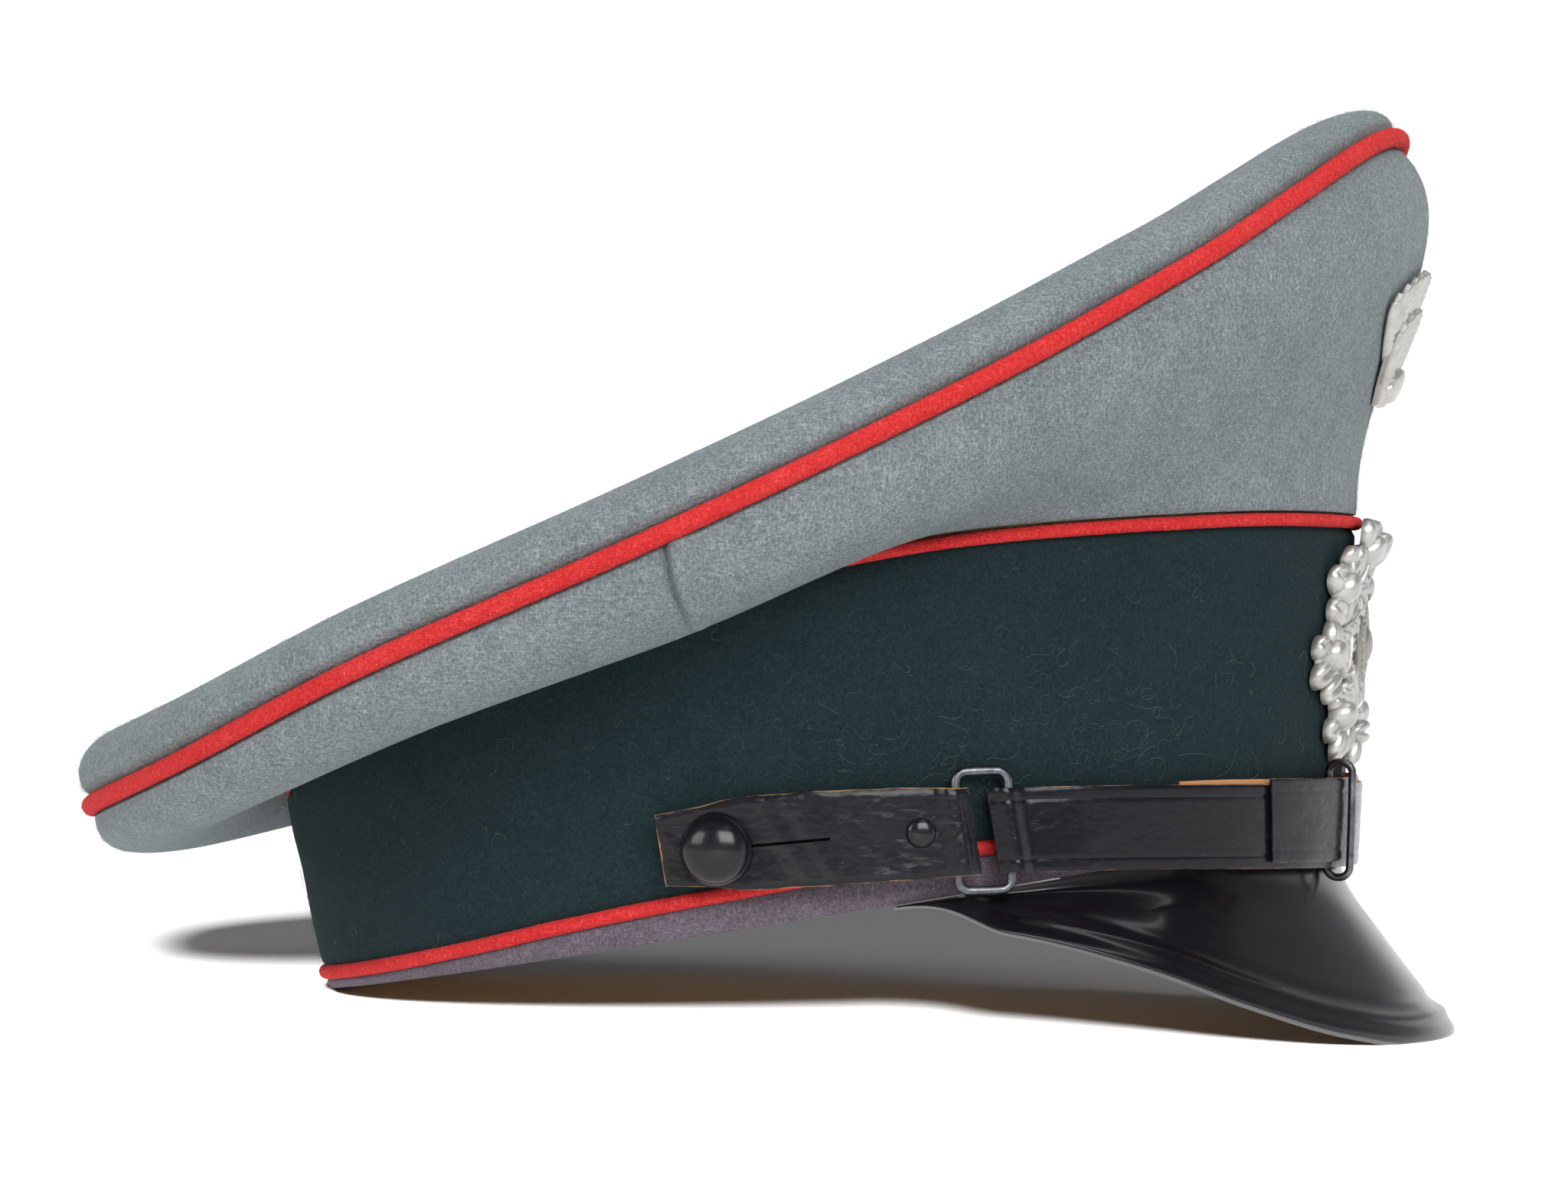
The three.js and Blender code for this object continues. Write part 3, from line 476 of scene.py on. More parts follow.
def leather(name, base, scuffed, gloss, wear_color=(0.33, 0.17, 0.07), dents=0.5):
    look = Look(name, Specular_IOR_Level=0.2, Coat_Weight=0.12, Coat_Roughness=0.05)
    pores = look.noise(1600, 4, 0.6)
    creases = look.noise(330, 6, 0.62, look.stretched((1, 1, 2.0)), 0.6)
    waves = look.noise(75, 3, 0.5, look.stretched((1, 1, 1.6)))
    scuffs = look.ramp(look.noise(120, 8, 0.75, look.stretched((0.6, 1, 2.4)), 1.0), 0.6, 0.74)
    hairs = look.ramp(look.noise(900, 2, 0.5, look.stretched((0.1, 0.4, 1), (0, 0.6, 0))), 0.66, 0.74)
    marks = look.math("MAXIMUM", look.math("MULTIPLY", scuffs, 0.35), look.math("MULTIPLY", hairs, 0.25))
    edge = look.math("ADD", look.attribute("wear"), look.ramp(look.noise(190, 5), 0.3, 0.7, -0.34, 0.22))
    wear = look.ramp(edge, 0.72, 0.9)
    color = look.mix(marks, (*base, 1), (*scuffed, 1))
    color = look.mix(wear, color, (*wear_color, 1))
    rough = look.math("ADD", look.ramp(creases, 0.3, 0.7, gloss, gloss + 0.16),
                      look.math("MULTIPLY", marks, 0.4))
    rough = look.math("ADD", rough, look.math("MULTIPLY", wear, 0.4))
    normal = look.bump(waves, dents, 0.0012)
    normal = look.bump(creases, 0.35, 0.0003, normal)
    normal = look.bump(pores, 0.2, 0.00006, normal)
    return look.set(Base_Color=color, Roughness=rough, Normal=normal)


def metal(name, bright, dull, rough, grain=900, bump=0.12):
    look = Look(name, Metallic=1.0)
    patina = look.noise(180, 6, 0.65)
    fine = look.noise(grain, 3, 0.6)
    color = look.mix(look.ramp(patina, 0.35, 0.65), (*dull, 1), (*bright, 1))
    roughness = look.math("ADD", look.ramp(fine, 0.3, 0.7, rough - 0.05, rough + 0.08),
                          look.ramp(patina, 0.4, 0.7, 0.06, -0.02))
    return look.set(Base_Color=color, Roughness=roughness, Normal=look.bump(fine, bump, 0.00008))


def lacquer(name, base, rough, dust=0.1):
    look = Look(name, Specular_IOR_Level=0.32, Coat_Weight=0.12, Coat_Roughness=0.05)
    wave = look.noise(24, 3, 0.5)
    fine = look.noise(1800, 3, 0.55)
    scratch = look.ramp(look.noise(1500, 2, 0.5, look.stretched((0.06, 1, 1), (0, 0.4, 0.3))), 0.64, 0.72)
    worn = look.math("MULTIPLY", scratch, look.ramp(look.noise(40, 4), 0.48, 0.66))
    color = look.mix(look.math("MULTIPLY", worn, dust), (*base, 1), (0.2, 0.2, 0.21, 1))
    edge = look.ramp(look.attribute("wear"), 0.6, 0.9)
    color = look.mix(edge, color, (0.12, 0.12, 0.125, 1))
    haze = look.ramp(look.noise(60, 5, 0.6), 0.4, 0.7, 0, 0.1)
    roughness = look.math("ADD", look.ramp(fine, 0.3, 0.7, rough, rough + 0.05), haze)
    roughness = look.math("ADD", roughness, look.math("MULTIPLY", edge, 0.4))
    normal = look.bump(wave, 0.1, 0.0012)
    normal = look.bump(fine, 0.06, 0.00004, normal)
    return look.set(Base_Color=color, Roughness=roughness, Normal=normal)


def silver():
    look = Look("frosted_silver", Metallic=0.7, Specular_IOR_Level=0.5)
    patina = look.noise(260, 6, 0.65)
    fine = look.noise(1700, 3, 0.6)
    hollow = look.ramp(look.attribute("wear"), 0.0, 0.5, 1, 0)
    color = look.mix(look.ramp(patina, 0.35, 0.68), (0.42, 0.41, 0.39, 1), (0.58, 0.57, 0.55, 1))
    color = look.mix(look.math("MULTIPLY", hollow, 0.6), color, (0.17, 0.155, 0.13, 1))
    roughness = look.ramp(fine, 0.3, 0.7, 0.3, 0.44)
    return look.set(Base_Color=color, Roughness=roughness, Normal=look.bump(fine, 0.18, 0.00008))


def woven(name, base, light, scale=2200, rough=0.9, sheen=0.2):
    look = Look(name, Roughness=rough, Sheen_Weight=sheen)
    warp = look.node("TexWave", {"Vector": look.place, "Scale": scale / 6, "Distortion": 1.2,
                                 "Detail": 1.0}, bands_direction="DIAGONAL").outputs["Fac"]
    fine = look.noise(scale, 3, 0.6)
    tone = look.math("ADD", look.math("MULTIPLY", warp, 0.5), look.ramp(fine, 0.35, 0.65, 0, 0.5))
    color = look.mix(tone, (*base, 1), (*light, 1))
    return look.set(Base_Color=color, Normal=look.bump(tone, 0.4, 0.0001))


def plain(name, base, light, rough, metallic=0.0):
    look = Look(name, Metallic=metallic)
    patch = look.noise(90, 5)
    fine = look.noise(1300, 3)
    color = look.mix(look.ramp(patch, 0.35, 0.65), (*base, 1), (*light, 1))
    return look.set(Base_Color=color, Roughness=look.ramp(fine, 0.3, 0.7, rough - 0.06, rough + 0.06),
                    Normal=look.bump(fine, 0.15, 0.0001))


CROWN_WOOL = wool("crown_wool", (0.105, 0.13, 0.14), (0.2, 0.235, 0.24), (0.38, 0.42, 0.425), 0.12,
                  blotch=0.2)
BAND_WOOL = wool("band_wool", (0.008, 0.017, 0.019), (0.014, 0.028, 0.031), (0.03, 0.05, 0.054), 0.04,
                 0.7, 0.2, 1.5)
RED_WOOL = wool("red_wool", (0.44, 0.016, 0.018), (0.58, 0.034, 0.034), (0.76, 0.12, 0.11), 0.05,
                0.8, 0.2, 1.3)
BASE_CLOTH = wool("base_cloth", (0.075, 0.06, 0.076), (0.135, 0.112, 0.138), (0.24, 0.21, 0.245), 0.1,
                  0.8, 0.2, 1.4)
VISOR_BLACK = lacquer("lacquered_fibre", (0.005, 0.005, 0.007), 0.14)
VISOR_UNDER = plain("visor_under", (0.03, 0.022, 0.016), (0.05, 0.036, 0.026), 0.5)
STRAP_BLACK = leather("strap_leather", (0.005, 0.005, 0.008), (0.03, 0.03, 0.038), 0.12)
TAB_BLACK = leather("tab_leather", (0.008, 0.008, 0.011), (0.05, 0.05, 0.06), 0.14, dents=1.0)
STRAP_TAN = leather("strap_flesh_side", (0.42, 0.2, 0.085), (0.6, 0.36, 0.2), 0.55)
BLACK_METAL = lacquer("black_metal", (0.006, 0.006, 0.009), 0.17, 0.3)
DARK_WIRE = metal("dark_wire", (0.2, 0.21, 0.23), (0.06, 0.06, 0.07), 0.28)
SILVER = silver()
SWEAT_LEATHER = leather("sweat_leather", (0.42, 0.23, 0.11), (0.5, 0.31, 0.17), 0.42, (0.3, 0.15, 0.07))
LINING = woven("lining", (0.22, 0.1, 0.04), (0.42, 0.23, 0.1), 3000, 0.42, 0.3)
CELLULOID = plain("celluloid", (0.42, 0.33, 0.17), (0.5, 0.4, 0.22), 0.2)
BOARD = woven("board", (0.3, 0.22, 0.13), (0.45, 0.35, 0.22), 1200)
SPRING = metal("spring_steel", (0.45, 0.45, 0.46), (0.2, 0.17, 0.14), 0.35)
RIBBON = woven("ribbon", (0.006, 0.006, 0.008), (0.03, 0.03, 0.035), 2600, 0.45, 0.2)
THREAD = woven("thread", (0.25, 0.2, 0.14), (0.5, 0.42, 0.3), 5000)
LINT = plain("lint", (0.08, 0.1, 0.1), (0.2, 0.225, 0.22), 0.8)
NAP = plain("crown_nap", (0.2, 0.235, 0.24), (0.42, 0.46, 0.46), 0.9)
DARK_NAP = plain("band_nap", (0.014, 0.026, 0.029), (0.05, 0.075, 0.08), 0.9)
RED_NAP = plain("piping_nap", (0.6, 0.05, 0.05), (0.85, 0.16, 0.15), 0.9)


# ------------------------------------------------------------ crown

def rim_point(angle):
    point = oval_point(angle, rim_offset(angle), 0.0)
    x = point[..., 0] + RIM_SHIFT
    return stack(x, point[..., 1], rim_height(x))


MIDDLE = 0.02
CLOTH = 1.5
RIM_FRONT, RIM_BACK = rim_point(0.0), rim_point(math.pi)
RIM_SLOPE = (RIM_FRONT[2] - RIM_BACK[2]) / (RIM_FRONT[0] - RIM_BACK[0])
RIM_MIDDLE = (RIM_FRONT[0] + RIM_BACK[0]) / 2
CROWN_NORMAL = unit(np.array((-RIM_SLOPE, 0.0, 1.0)))


def rim_level(x):
    return RIM_BACK[2] + RIM_SLOPE * (x - RIM_BACK[0])


def membrane(angle, reach):
    rim = rim_point(angle)
    x = RIM_MIDDLE + (rim[..., 0] - RIM_MIDDLE) * reach
    blend = reach * reach
    z = rim_level(x) + (rim[..., 2] - rim_level(rim[..., 0])) * blend + CROWN_SAG * (1 - blend)
    return stack(x, rim[..., 1] * reach, z)


def over_crown(angle, inward, height):
    """A point a way in from the rim and a height square to the slack crown surface."""
    rim = rim_point(angle)
    span = np.hypot(rim[..., 0] - RIM_MIDDLE, rim[..., 1])
    reach = 1 - np.minimum(inward, span) / span
    near = np.maximum(reach, MIDDLE)
    along = membrane(angle, near + SURFACE_STEP) - membrane(angle, near - SURFACE_STEP)
    turn = membrane(angle + SURFACE_STEP, near) - membrane(angle - SURFACE_STEP, near)
    normal = unit(np.cross(along, turn))
    normal = np.where((reach < MIDDLE)[..., None], CROWN_NORMAL, normal)
    return membrane(angle, reach) + normal * np.asarray(height)[..., None]


ROLL = [(3.0, 0.6), (1.4, 1.5), (0.25, 2.7), (-0.35, 4.6), (0.8, 7.6), (4.2, 10), (9.5, 10.8), (18, 9.8),
        (34, 7), (60, 5), (95, 4.2), (200, 4)]


def spline(points, t):
    """A uniform Catmull-Rom curve through points."""
    points = np.asarray(points, float)
    last = len(points) - 1
    place = np.clip(t, 0, 1) * last
    i = np.minimum(place.astype(int), last - 1)
    w = (place - i)[..., None]
    p0, p1 = points[np.maximum(i - 1, 0)], points[i]
    p2, p3 = points[i + 1], points[np.minimum(i + 2, last)]
    m1, m2 = (p2 - p0) / 2, (p3 - p1) / 2
    return ((2 * w ** 3 - 3 * w ** 2 + 1) * p1 + (w ** 3 - 2 * w ** 2 + w) * m1
            + (-2 * w ** 3 + 3 * w ** 2) * p2 + (w ** 3 - w ** 2) * m2)


def ripple(angle, seed, parts=5, top=9):
    """A smooth, closed, seeded wobble round the cap, about 1 high."""
    rng = random.Random(seed)
    total = np.zeros_like(angle)
    for _ in range(parts):
        size = rng.uniform(0.4, 1)
        total = total + size * np.cos(rng.randint(2, top) * angle + rng.uniform(0, 6.28)) / parts
    return total


def turn_of(u):
    return (2 * u - 1) * math.pi


def crown_top_surface(angle, v):
    profile = spline(ROLL, v)
    start = ROLL[2][1]
    height = start + (profile[..., 1] - start) * np.where(v > 0.8, 1, roll_height(angle))
    height = np.where(profile[..., 1] < start, profile[..., 1], height)
    inward = np.where(v >= 1, 1000, profile[..., 0])
    soft = smoothstep(inward, 2, 12) * (1 - smoothstep(inward, 70, 110))
    give = 0.55 * ripple(angle, 3) + 0.3 * ripple(angle + inward / 40, 8, 6, 13)
    return over_crown(angle, inward, height + soft * give)


def crown_top():
    def outer(u, v):
        return crown_top_surface(turn_of(u), v)
    piece = closed_sheet("crown_top_cloth", outer, moved_out(outer, -CLOTH), 288, 66, CROWN_WOOL, True)
    fit(piece, "crown_top")


def crown_side(angle, v):
    """From just under the rim piping (v = 0) to the band's upper piping (v = 1)."""
    out = outward(angle)
    rim = rim_point(angle) - UP * 2.0 - out * 0.3
    foot = on_wall(angle, band_top(angle) + UPPER_PIPING + 0.5, 0.25)
    high = rim + out * rim_out(angle)[..., None] - UP * rim_drop(angle)[..., None]
    low = foot + out * foot_out(angle)[..., None] + UP * foot_rise(angle)[..., None]
    t = v[..., None]
    s = 1 - t
    return s ** 3 * rim + 3 * s * s * t * high + 3 * s * t * t * low + t ** 3 * foot


def panel_surface(angle, v, edge):
    """The crown's side cloth; edge is the distance in millimetres to the panel's nearer seam."""
    body = np.clip((v - 0.04) / 0.93, 0, 1)
    tuck_top = 1 - smoothstep(v, 0, 0.045)
    tuck_foot = smoothstep(v, 0.965, 1)
    lap = np.where(np.abs(angle) < SEAM + 1e-6, 1.0, 0.35)
    seam = 1.5 * np.exp(-(edge / 0.55) ** 2)
    swell_out = lap * 1.15 * np.exp(-((edge - 1.7) / 1.5) ** 2)
    soft = np.sin(math.pi * np.clip(v, 0, 1)) ** 0.7
    give = soft * (0.5 * ripple(angle + v * 0.8, 21, 6, 11) + 0.35 * ripple(angle + 1.9 * v, 5, 5, 15))
    drag = -0.7 * np.exp(-(edge / 9.0) ** 2) * soft
    depth = give - seam + swell_out + drag - 2.3 * tuck_top - 1.2 * tuck_foot
    return crown_side(angle, body) + outward(angle) * depth[..., None] + UP * (tuck_top * 0.9)[..., None]


def crown_panel(name, first, last, columns, node):
    def outer(u, v):
        near_seam = u - 0.9 * np.sin(2 * math.pi * u) / (2 * math.pi)
        angle = first + (last - first) * near_seam
        edge = np.minimum(near_seam, 1 - near_seam) * abs(last - first) * CROWN_RADIUS
        return panel_surface(angle, v, edge)
    sign = CLOTH if last > first else -CLOTH
    piece = closed_sheet(name, outer, moved_out(outer, sign), columns, 40, CROWN_WOOL)
    fit(piece, node)


def piping(name, path, radius, node, seed, steps=420):
    """Wool-covered cord: slightly uneven, with faint pinches where its cover is sewn."""
    angle = np.arange(steps) / steps * 2 * math.pi - math.pi
    uneven = radius * (1 + 0.05 * ripple(angle, seed, 6, 60) + 0.02 * np.cos(angle * 210))
    piece = tube(name, path(angle), uneven, RED_WOOL, 16)
    fit(piece, node)


def lining_point(angle, v):
    middle = over_crown(angle, np.full_like(angle, 1000.0), np.full_like(angle, -3.0))
    corner = over_crown(angle, np.full_like(angle, 15.0), np.full_like(angle, -1.5))
    foot = on_wall(angle, band_top(angle) + 1.8, -4.8)
    shoulder = foot + UP * 6
    t = v[..., None]
    flat = middle + (corner - middle) * np.minimum(t * 2, 1)
    s = np.clip(t * 2 - 1, 0, 1)
    side = (1 - s) ** 2 * corner + 2 * s * (1 - s) * shoulder + s * s * foot
    return np.where(t < 0.5, flat, side)


def crown_lining():
    def outer(u, v):
        angle = turn_of(u)
        pleat = np.abs(np.sin(angle * 30)) * smoothstep(v, 0.35, 0.75) * (1 - smoothstep(v, 0.9, 1))
        return lining_point(angle, v) - outward(angle) * (pleat * 0.9)[..., None]
    piece = closed_sheet("lining_bag", outer, moved_out(outer, -0.7), 360, 30, LINING, True)
    fit(piece, "crown_lining")

    def shield(depth):
        return lambda u, v: lining_point(turn_of(u), v * 0.26) - UP * depth
    cover = closed_sheet("sweat_shield_sheet", shield(1.4), shield(1.9), 96, 8, CELLULOID, True)
    fit(cover, "sweat_shield")
    stitches = stitch_row("shield_stitches", lambda a: lining_point(a, np.full_like(a, 0.24)) - UP * 2.0, 110)
    fit(stitches, None)


def stitch_row(name, path, count, radius=0.22):
    """A row of short rounded stitches along a loop path(angle)."""
    verts, faces = [], []
    for k in range(count):
        middle = -math.pi + 2 * math.pi * k / count
        half = math.pi / count * 0.62
        angles = middle + np.linspace(-half, half, 5)
        points = world(path(angles))
        widths = radius / 1000 * np.array((0.45, 0.95, 1, 0.95, 0.45))
        v, f = tube_parts(points, widths, 6, False, (0, 0, 1), len(verts))
        verts += v.tolist()
        faces += f
    return new_object(name, verts, faces, THREAD, 60)


# ------------------------------------------------------------ band

def wall_cloth(name, node, material, low, high, thickness, rows, seed, columns=360):
    def outer(u, v):
        angle = turn_of(u)
        rise = high(angle) - low(angle)
        z = low(angle) + rise * v
        edge = np.minimum(v, 1 - v) * rise
        round_in = 0.9 * np.exp(-(edge / 0.8) ** 1.5)
        soft = np.sin(math.pi * v)
        give = 0.3 * soft * ripple(angle + v, seed, 6, 14)
        return on_wall(angle, z, give - round_in)
    piece = closed_sheet(name, outer, moved_out(outer, -thickness), columns, rows, material, True)
    fit(piece, node)
    return piece


def band():
    wall_cloth("band_facing", "band_cloth", BAND_WOOL,
               lambda a: lower_piping(a) + LOWER_PIPING * 0.62, lambda a: band_top(a) - UPPER_PIPING * 0.7,
               1.2, 30, 41)
    strip = wall_cloth("base_strip_cloth", "band_base_strip", BASE_CLOTH,
                       lambda a: 0.25 + 0 * a, lambda a: lower_piping(a) - LOWER_PIPING * 0.62, 1.2, 10, 17)
    floor_to_rest(strip)
    piping("crown_rim_piping", rim_point, RIM_PIPING, "crown_piping", 4, 720)
    sunk = 1.7

    def upper_path(angle):
        return on_wall(angle, band_top(angle), 0.15 - sunk * smoothstep(np.abs(angle), 1.75, 2.3))
    piping("upper_band_piping", upper_path, UPPER_PIPING, "band_upper_piping", 9)
    piping("lower_band_piping", lambda a: on_wall(a, lower_piping(a), -LOWER_SINK + 0.2), LOWER_PIPING,
           "band_lower_piping", 14)


def floor_to_rest(piece):
    """Presses what would lie below the table up to it."""
    for vertex in piece.data.vertices:
        vertex.co.z = max(vertex.co.z, TABLE)


def sweatband():
    def outer(u, v):
        angle = turn_of(u)
        z = 0.6 + (band_top(angle) * 0.72 - 0.6) * v
        curl = 1.6 * np.exp(-(v * 30 / 1.2) ** 1.2)
        return on_wall(angle, z, SWEAT_OUT + curl + 0.25 * ripple(angle + v, 61, 6, 12))
    piece = closed_sheet("sweatband_leather", outer, moved_out(outer, -1.1), 300, 20, SWEAT_LEATHER, True)
    floor_to_rest(piece)
    fit(piece, "sweatband")
    seam = stitch_row("sweatband_stitches", lambda a: on_wall(a, 3.2, SWEAT_IN - 0.1), 190)
    fit(seam, None)


def bow():
    """A flat ribbon bow inside the back of the sweatband."""
    inside = REAR_X - R_REAR - SWEAT_IN + 1.3
    parts = []
    for side in (1, -1):
        turn = np.arange(40) / 40 * 2 * math.pi
        loop = stack(inside + 0.5 + 0.7 * np.sin(turn), side * (7.2 - 6.6 * np.cos(turn)),
                     12 + 3.1 * np.sin(turn) + 0.4 * np.cos(2 * turn))
        parts.append(ribbon_strip("bow_loop", loop, True))
        t = np.linspace(0, 1, 16)
        fall = 12 - 7.5 * t - 1.0 * np.sin(3 * t)
        tail = stack(inside + 0.4 + 0.2 * np.sin(5 * t), side * (1 + 9 * t), fall)
        parts.append(ribbon_strip("bow_tail", tail, False))
    knot = turned("bow_knot", [(0, -1.9), (1.3, -1.7), (1.75, -0.8), (1.8, 0.4), (1.5, 1.5), (0, 1.9)],
                  np.array((inside + 0.9, 0, 12)), (0, 1, 0.1), RIBBON, 24)
    whole = joined("ribbon_bow", parts + [knot])
    fit(whole, "sweatband_bow")


def ribbon_strip(name, points, closed):
    """A flat ribbon of even width along points."""
    count = len(points)
    half, thick = np.array((0.0, 0.0, 1.6)), np.array((0.17, 0, 0))
    rings = np.stack([points - half - thick, points - half + thick, points + half + thick,
                      points + half - thick], axis=1)
    faces = grid_faces(count if closed else count - 1, 4, closed, True)
    if not closed:
        faces += [(0, 1, 2, 3), tuple((count - 1) * 4 + k for k in (3, 2, 1, 0))]
    return new_object(name, world(rings.reshape(-1, 3)).tolist(), faces, RIBBON, 40)


# ------------------------------------------------------------ visor

VISOR_ROOT, VISOR_EDGE = 76 * DEG, 96 * DEG
VISOR_EDGE_X, VISOR_REACH, VISOR_HALF = 33.0, 86.7, 90.2
VISOR_SINK, VISOR_GAP = -0.8, -0.03
VISOR_THICK, VISOR_UNDER_DROP = 1.86, 0.4
TAPER, TAPER_FROM = 0.8, 0.84
VISOR_COLUMNS, VISOR_ROWS = 220, 90


def visor_point(u, v):
    """From the root under the band (v = 0) to the rim (v = 1); its rear corners taper to the band."""
    side = 2 * u - 1
    root = oval_point(side * VISOR_ROOT, VISOR_SINK, VISOR_GAP)
    sweep = side * VISOR_EDGE
    x = VISOR_EDGE_X + VISOR_REACH * np.cos(sweep)
    edge = stack(x, VISOR_HALF * np.sin(sweep), visor_drop(x))
    taper = 1 - TAPER * smoothstep(np.abs(side), TAPER_FROM, 1)
    point = root + (edge - root) * (visor_width(v) * taper)[..., None]
    z = root[..., 2] + (edge[..., 2] - root[..., 2]) * v * taper
    return stack(point[..., 0], point[..., 1], z)


def visor():
    width = 40.0

    def outer(u, v):
        point = visor_point(u, v)
        narrow = np.clip(np.linalg.norm(visor_point(u, np.ones_like(v)) - visor_point(u, np.zeros_like(v)),
                                        axis=-1) / width, 0.12, 2)
        from_edge = (1 - v) * width * narrow
        bead = 0.75 * np.exp(-((from_edge - 5.6) / 1.25) ** 2)
        bead = bead - 0.25 * np.exp(-((from_edge - 8.6) / 1.4) ** 2)
        round_off = -0.55 * np.exp(-(from_edge / 0.55) ** 1.4)
        ends = 1 - np.abs(2 * u - 1) ** 10
        return point + outward((2 * u - 1) * VISOR_ROOT) * ((bead * ends + round_off)[..., None])

    def inner(u, v):
        base = visor_point(u, v)
        from_edge = (1 - v) * 42
        depth = VISOR_THICK - 0.35 * np.exp(-(from_edge / 0.55) ** 1.4)
        down = VISOR_UNDER_DROP * np.minimum(1, 5 * v)
        return base - outward((2 * u - 1) * VISOR_ROOT) * depth[..., None] - UP * down[..., None]

    def wear(u, v):
        return smoothstep(v, 0.985, 1.0)
    piece = closed_sheet("visor_shell", outer, inner, VISOR_COLUMNS, VISOR_ROWS, VISOR_BLACK, False, 50, wear)
    floor_to_rest(piece)
    piece.data.materials.append(VISOR_UNDER)
    under = VISOR_COLUMNS * VISOR_ROWS
    for face in list(piece.data.polygons)[under:2 * under]:
        face.material_index = 1
    fit(piece, "visor")


# ------------------------------------------------------------ badges

def front_shell(across, z, standoff):
    """A point in front of the band: across is measured round the wall."""
    radius = R_FRONT + wall_lean(0.0) * z
    return on_wall(across / radius, z, standoff)


def weighted_object(name, verts, faces, weights, material, sharp=50):
    """An object whose points keep their order, so that each keeps its own wear."""
    mesh = bpy.data.meshes.new(name)
    mesh.from_pydata(verts, [], faces)
    add_wear(mesh, weights)
    bm = bmesh.new()
    bm.from_mesh(mesh)
    bmesh.ops.recalc_face_normals(bm, faces=bm.faces)
    bm.to_mesh(mesh)
    bm.free()
    smooth(mesh, sharp)
    return add_object(name, mesh, material)


class Relief:
    """Gathers raised domes that lie on a curved shell into one object."""

    def __init__(self, shell):
        self.shell, self.verts, self.faces, self.weights = shell, [], [], []

    def dome(self, place, half_long, half_wide, heading, base, height, groove=0.0, full=0.5):
        """Half an ellipsoid on its back; groove cuts a vein along its length."""
        rows, columns = 8, 26
        rise = (np.arange(rows + 1) / rows * math.pi / 2)[:, None]
        turn = (np.arange(columns) / columns * 2 * math.pi)[None, :]
        ring = np.cos(rise) ** full
        along, over = half_long * ring * np.cos(turn), half_wide * ring * np.sin(turn)
        vein = groove * np.exp(-(over / (0.22 * half_wide)) ** 2)
        up = height * np.sin(rise) * (1 - vein) + 0 * turn
        c, d = math.cos(heading), math.sin(heading)
        a, b = place[0] + along * c - over * d, place[1] + along * d + over * c
        start = len(self.verts)
        self.verts += world(self.shell(a, b, base + up)).reshape(-1, 3).tolist()
        shade = np.clip(np.sin(rise) * 1.15 - 1.4 * vein + 0 * turn, 0, 1)
        self.weights += shade.reshape(-1).tolist()
        for i in range(rows):
            for k in range(columns):
                n = (k + 1) % columns
                self.faces.append((start + i * columns + k, start + i * columns + n,
                                   start + (i + 1) * columns + n, start + (i + 1) * columns + k))
        self.faces.append(tuple(start + k for k in range(columns))[::-1])

    def leaf(self, place, heading, length, width, pairs, base, height):
        """A lobed leaf: paired rounded lobes, an end lobe and a raised midrib over a low body."""
        c, d = math.cos(heading), math.sin(heading)

        def at(along, over):
            return place[0] + along * c - over * d, place[1] + along * d + over * c
        self.dome(at(length * 0.48, 0), length * 0.46, width * 0.3, heading, base, height * 0.62, 0, 0.6)
        for k in range(pairs):
            s = (k + 0.55) / (pairs + 0.35)
            size = math.sin(math.pi * (0.22 + 0.62 * s)) ** 0.7
            for side in (1, -1):
                spot = at(length * s, side * width * 0.27 * size)
                self.dome(spot, width * 0.27 * size, length * 0.5 / (pairs + 0.6), heading + side * 0.95,
                          base, height * (0.86 + 0.1 * size), 0.3, 0.62)
        self.dome(at(length * 0.93, 0), length * 0.15, width * 0.17, heading, base, height * 0.85, 0.25, 0.6)
        self.dome(at(length * 0.46, 0), length * 0.45, width * 0.05, heading, base, height * 1.06)

    def finish(self, name):
        return weighted_object(name, self.verts, self.faces, self.weights, SILVER)


def wreath():
    """A plain wreath of lobed leaves and round berries about an open middle, tied at the foot."""
    leaf_wide, leaf_tall, bead_wide, bead_tall = 18.8, 13.6, 25.4, 18.2
    drop, bead_drop, bead_turn = 1.2, 0.8, 20

    def shell(a, b, rise):
        z = WREATH_Z + b
        lift = 0.5 + 1.9 * smoothstep(z, 47, 56)
        return front_shell(a, z, rise + lift)
    relief = Relief(shell)
    for side in (1, -1):
        for turn in (156, 114, 72, 34):
            t = turn * DEG
            place = (side * leaf_wide * math.sin(t), leaf_tall * math.cos(t) - drop)
            heading = math.atan2(leaf_tall * math.sin(t), -side * leaf_wide * math.cos(t))
            relief.leaf(place, heading - side * 0.5, 14.5, 14.5, 2, 0.4, 3.2)
            relief.leaf(place, heading + side * 0.75, 10.5, 10.0, 2, 0.6, 2.7)
            bead = (turn - bead_turn) * DEG
            spot = (side * bead_wide * math.sin(bead), bead_tall * math.cos(bead) - bead_drop)
            relief.dome(spot, 3.5, 3.2, heading, 0.6, 4.9, 0, 0.7)
    relief.dome((0, -17.6), 4.8, 2.6, 0, 1.4, 3.6, 0.35)
    for lean in (0.5, -0.5):
        relief.dome((math.sin(lean) * 4.4, -20.6), 3.6, 1.8, -math.pi / 2 + lean, 0.9, 2.6, 0.3)
    relief.dome((0, 17.6), 3.4, 3.2, 0, 1.5, 4.4, 0, 0.7)
    piece = relief.finish("wreath_of_leaves")
    fit(piece, "wreath_badge")
    back = wreath_back()
    fit(back, None)


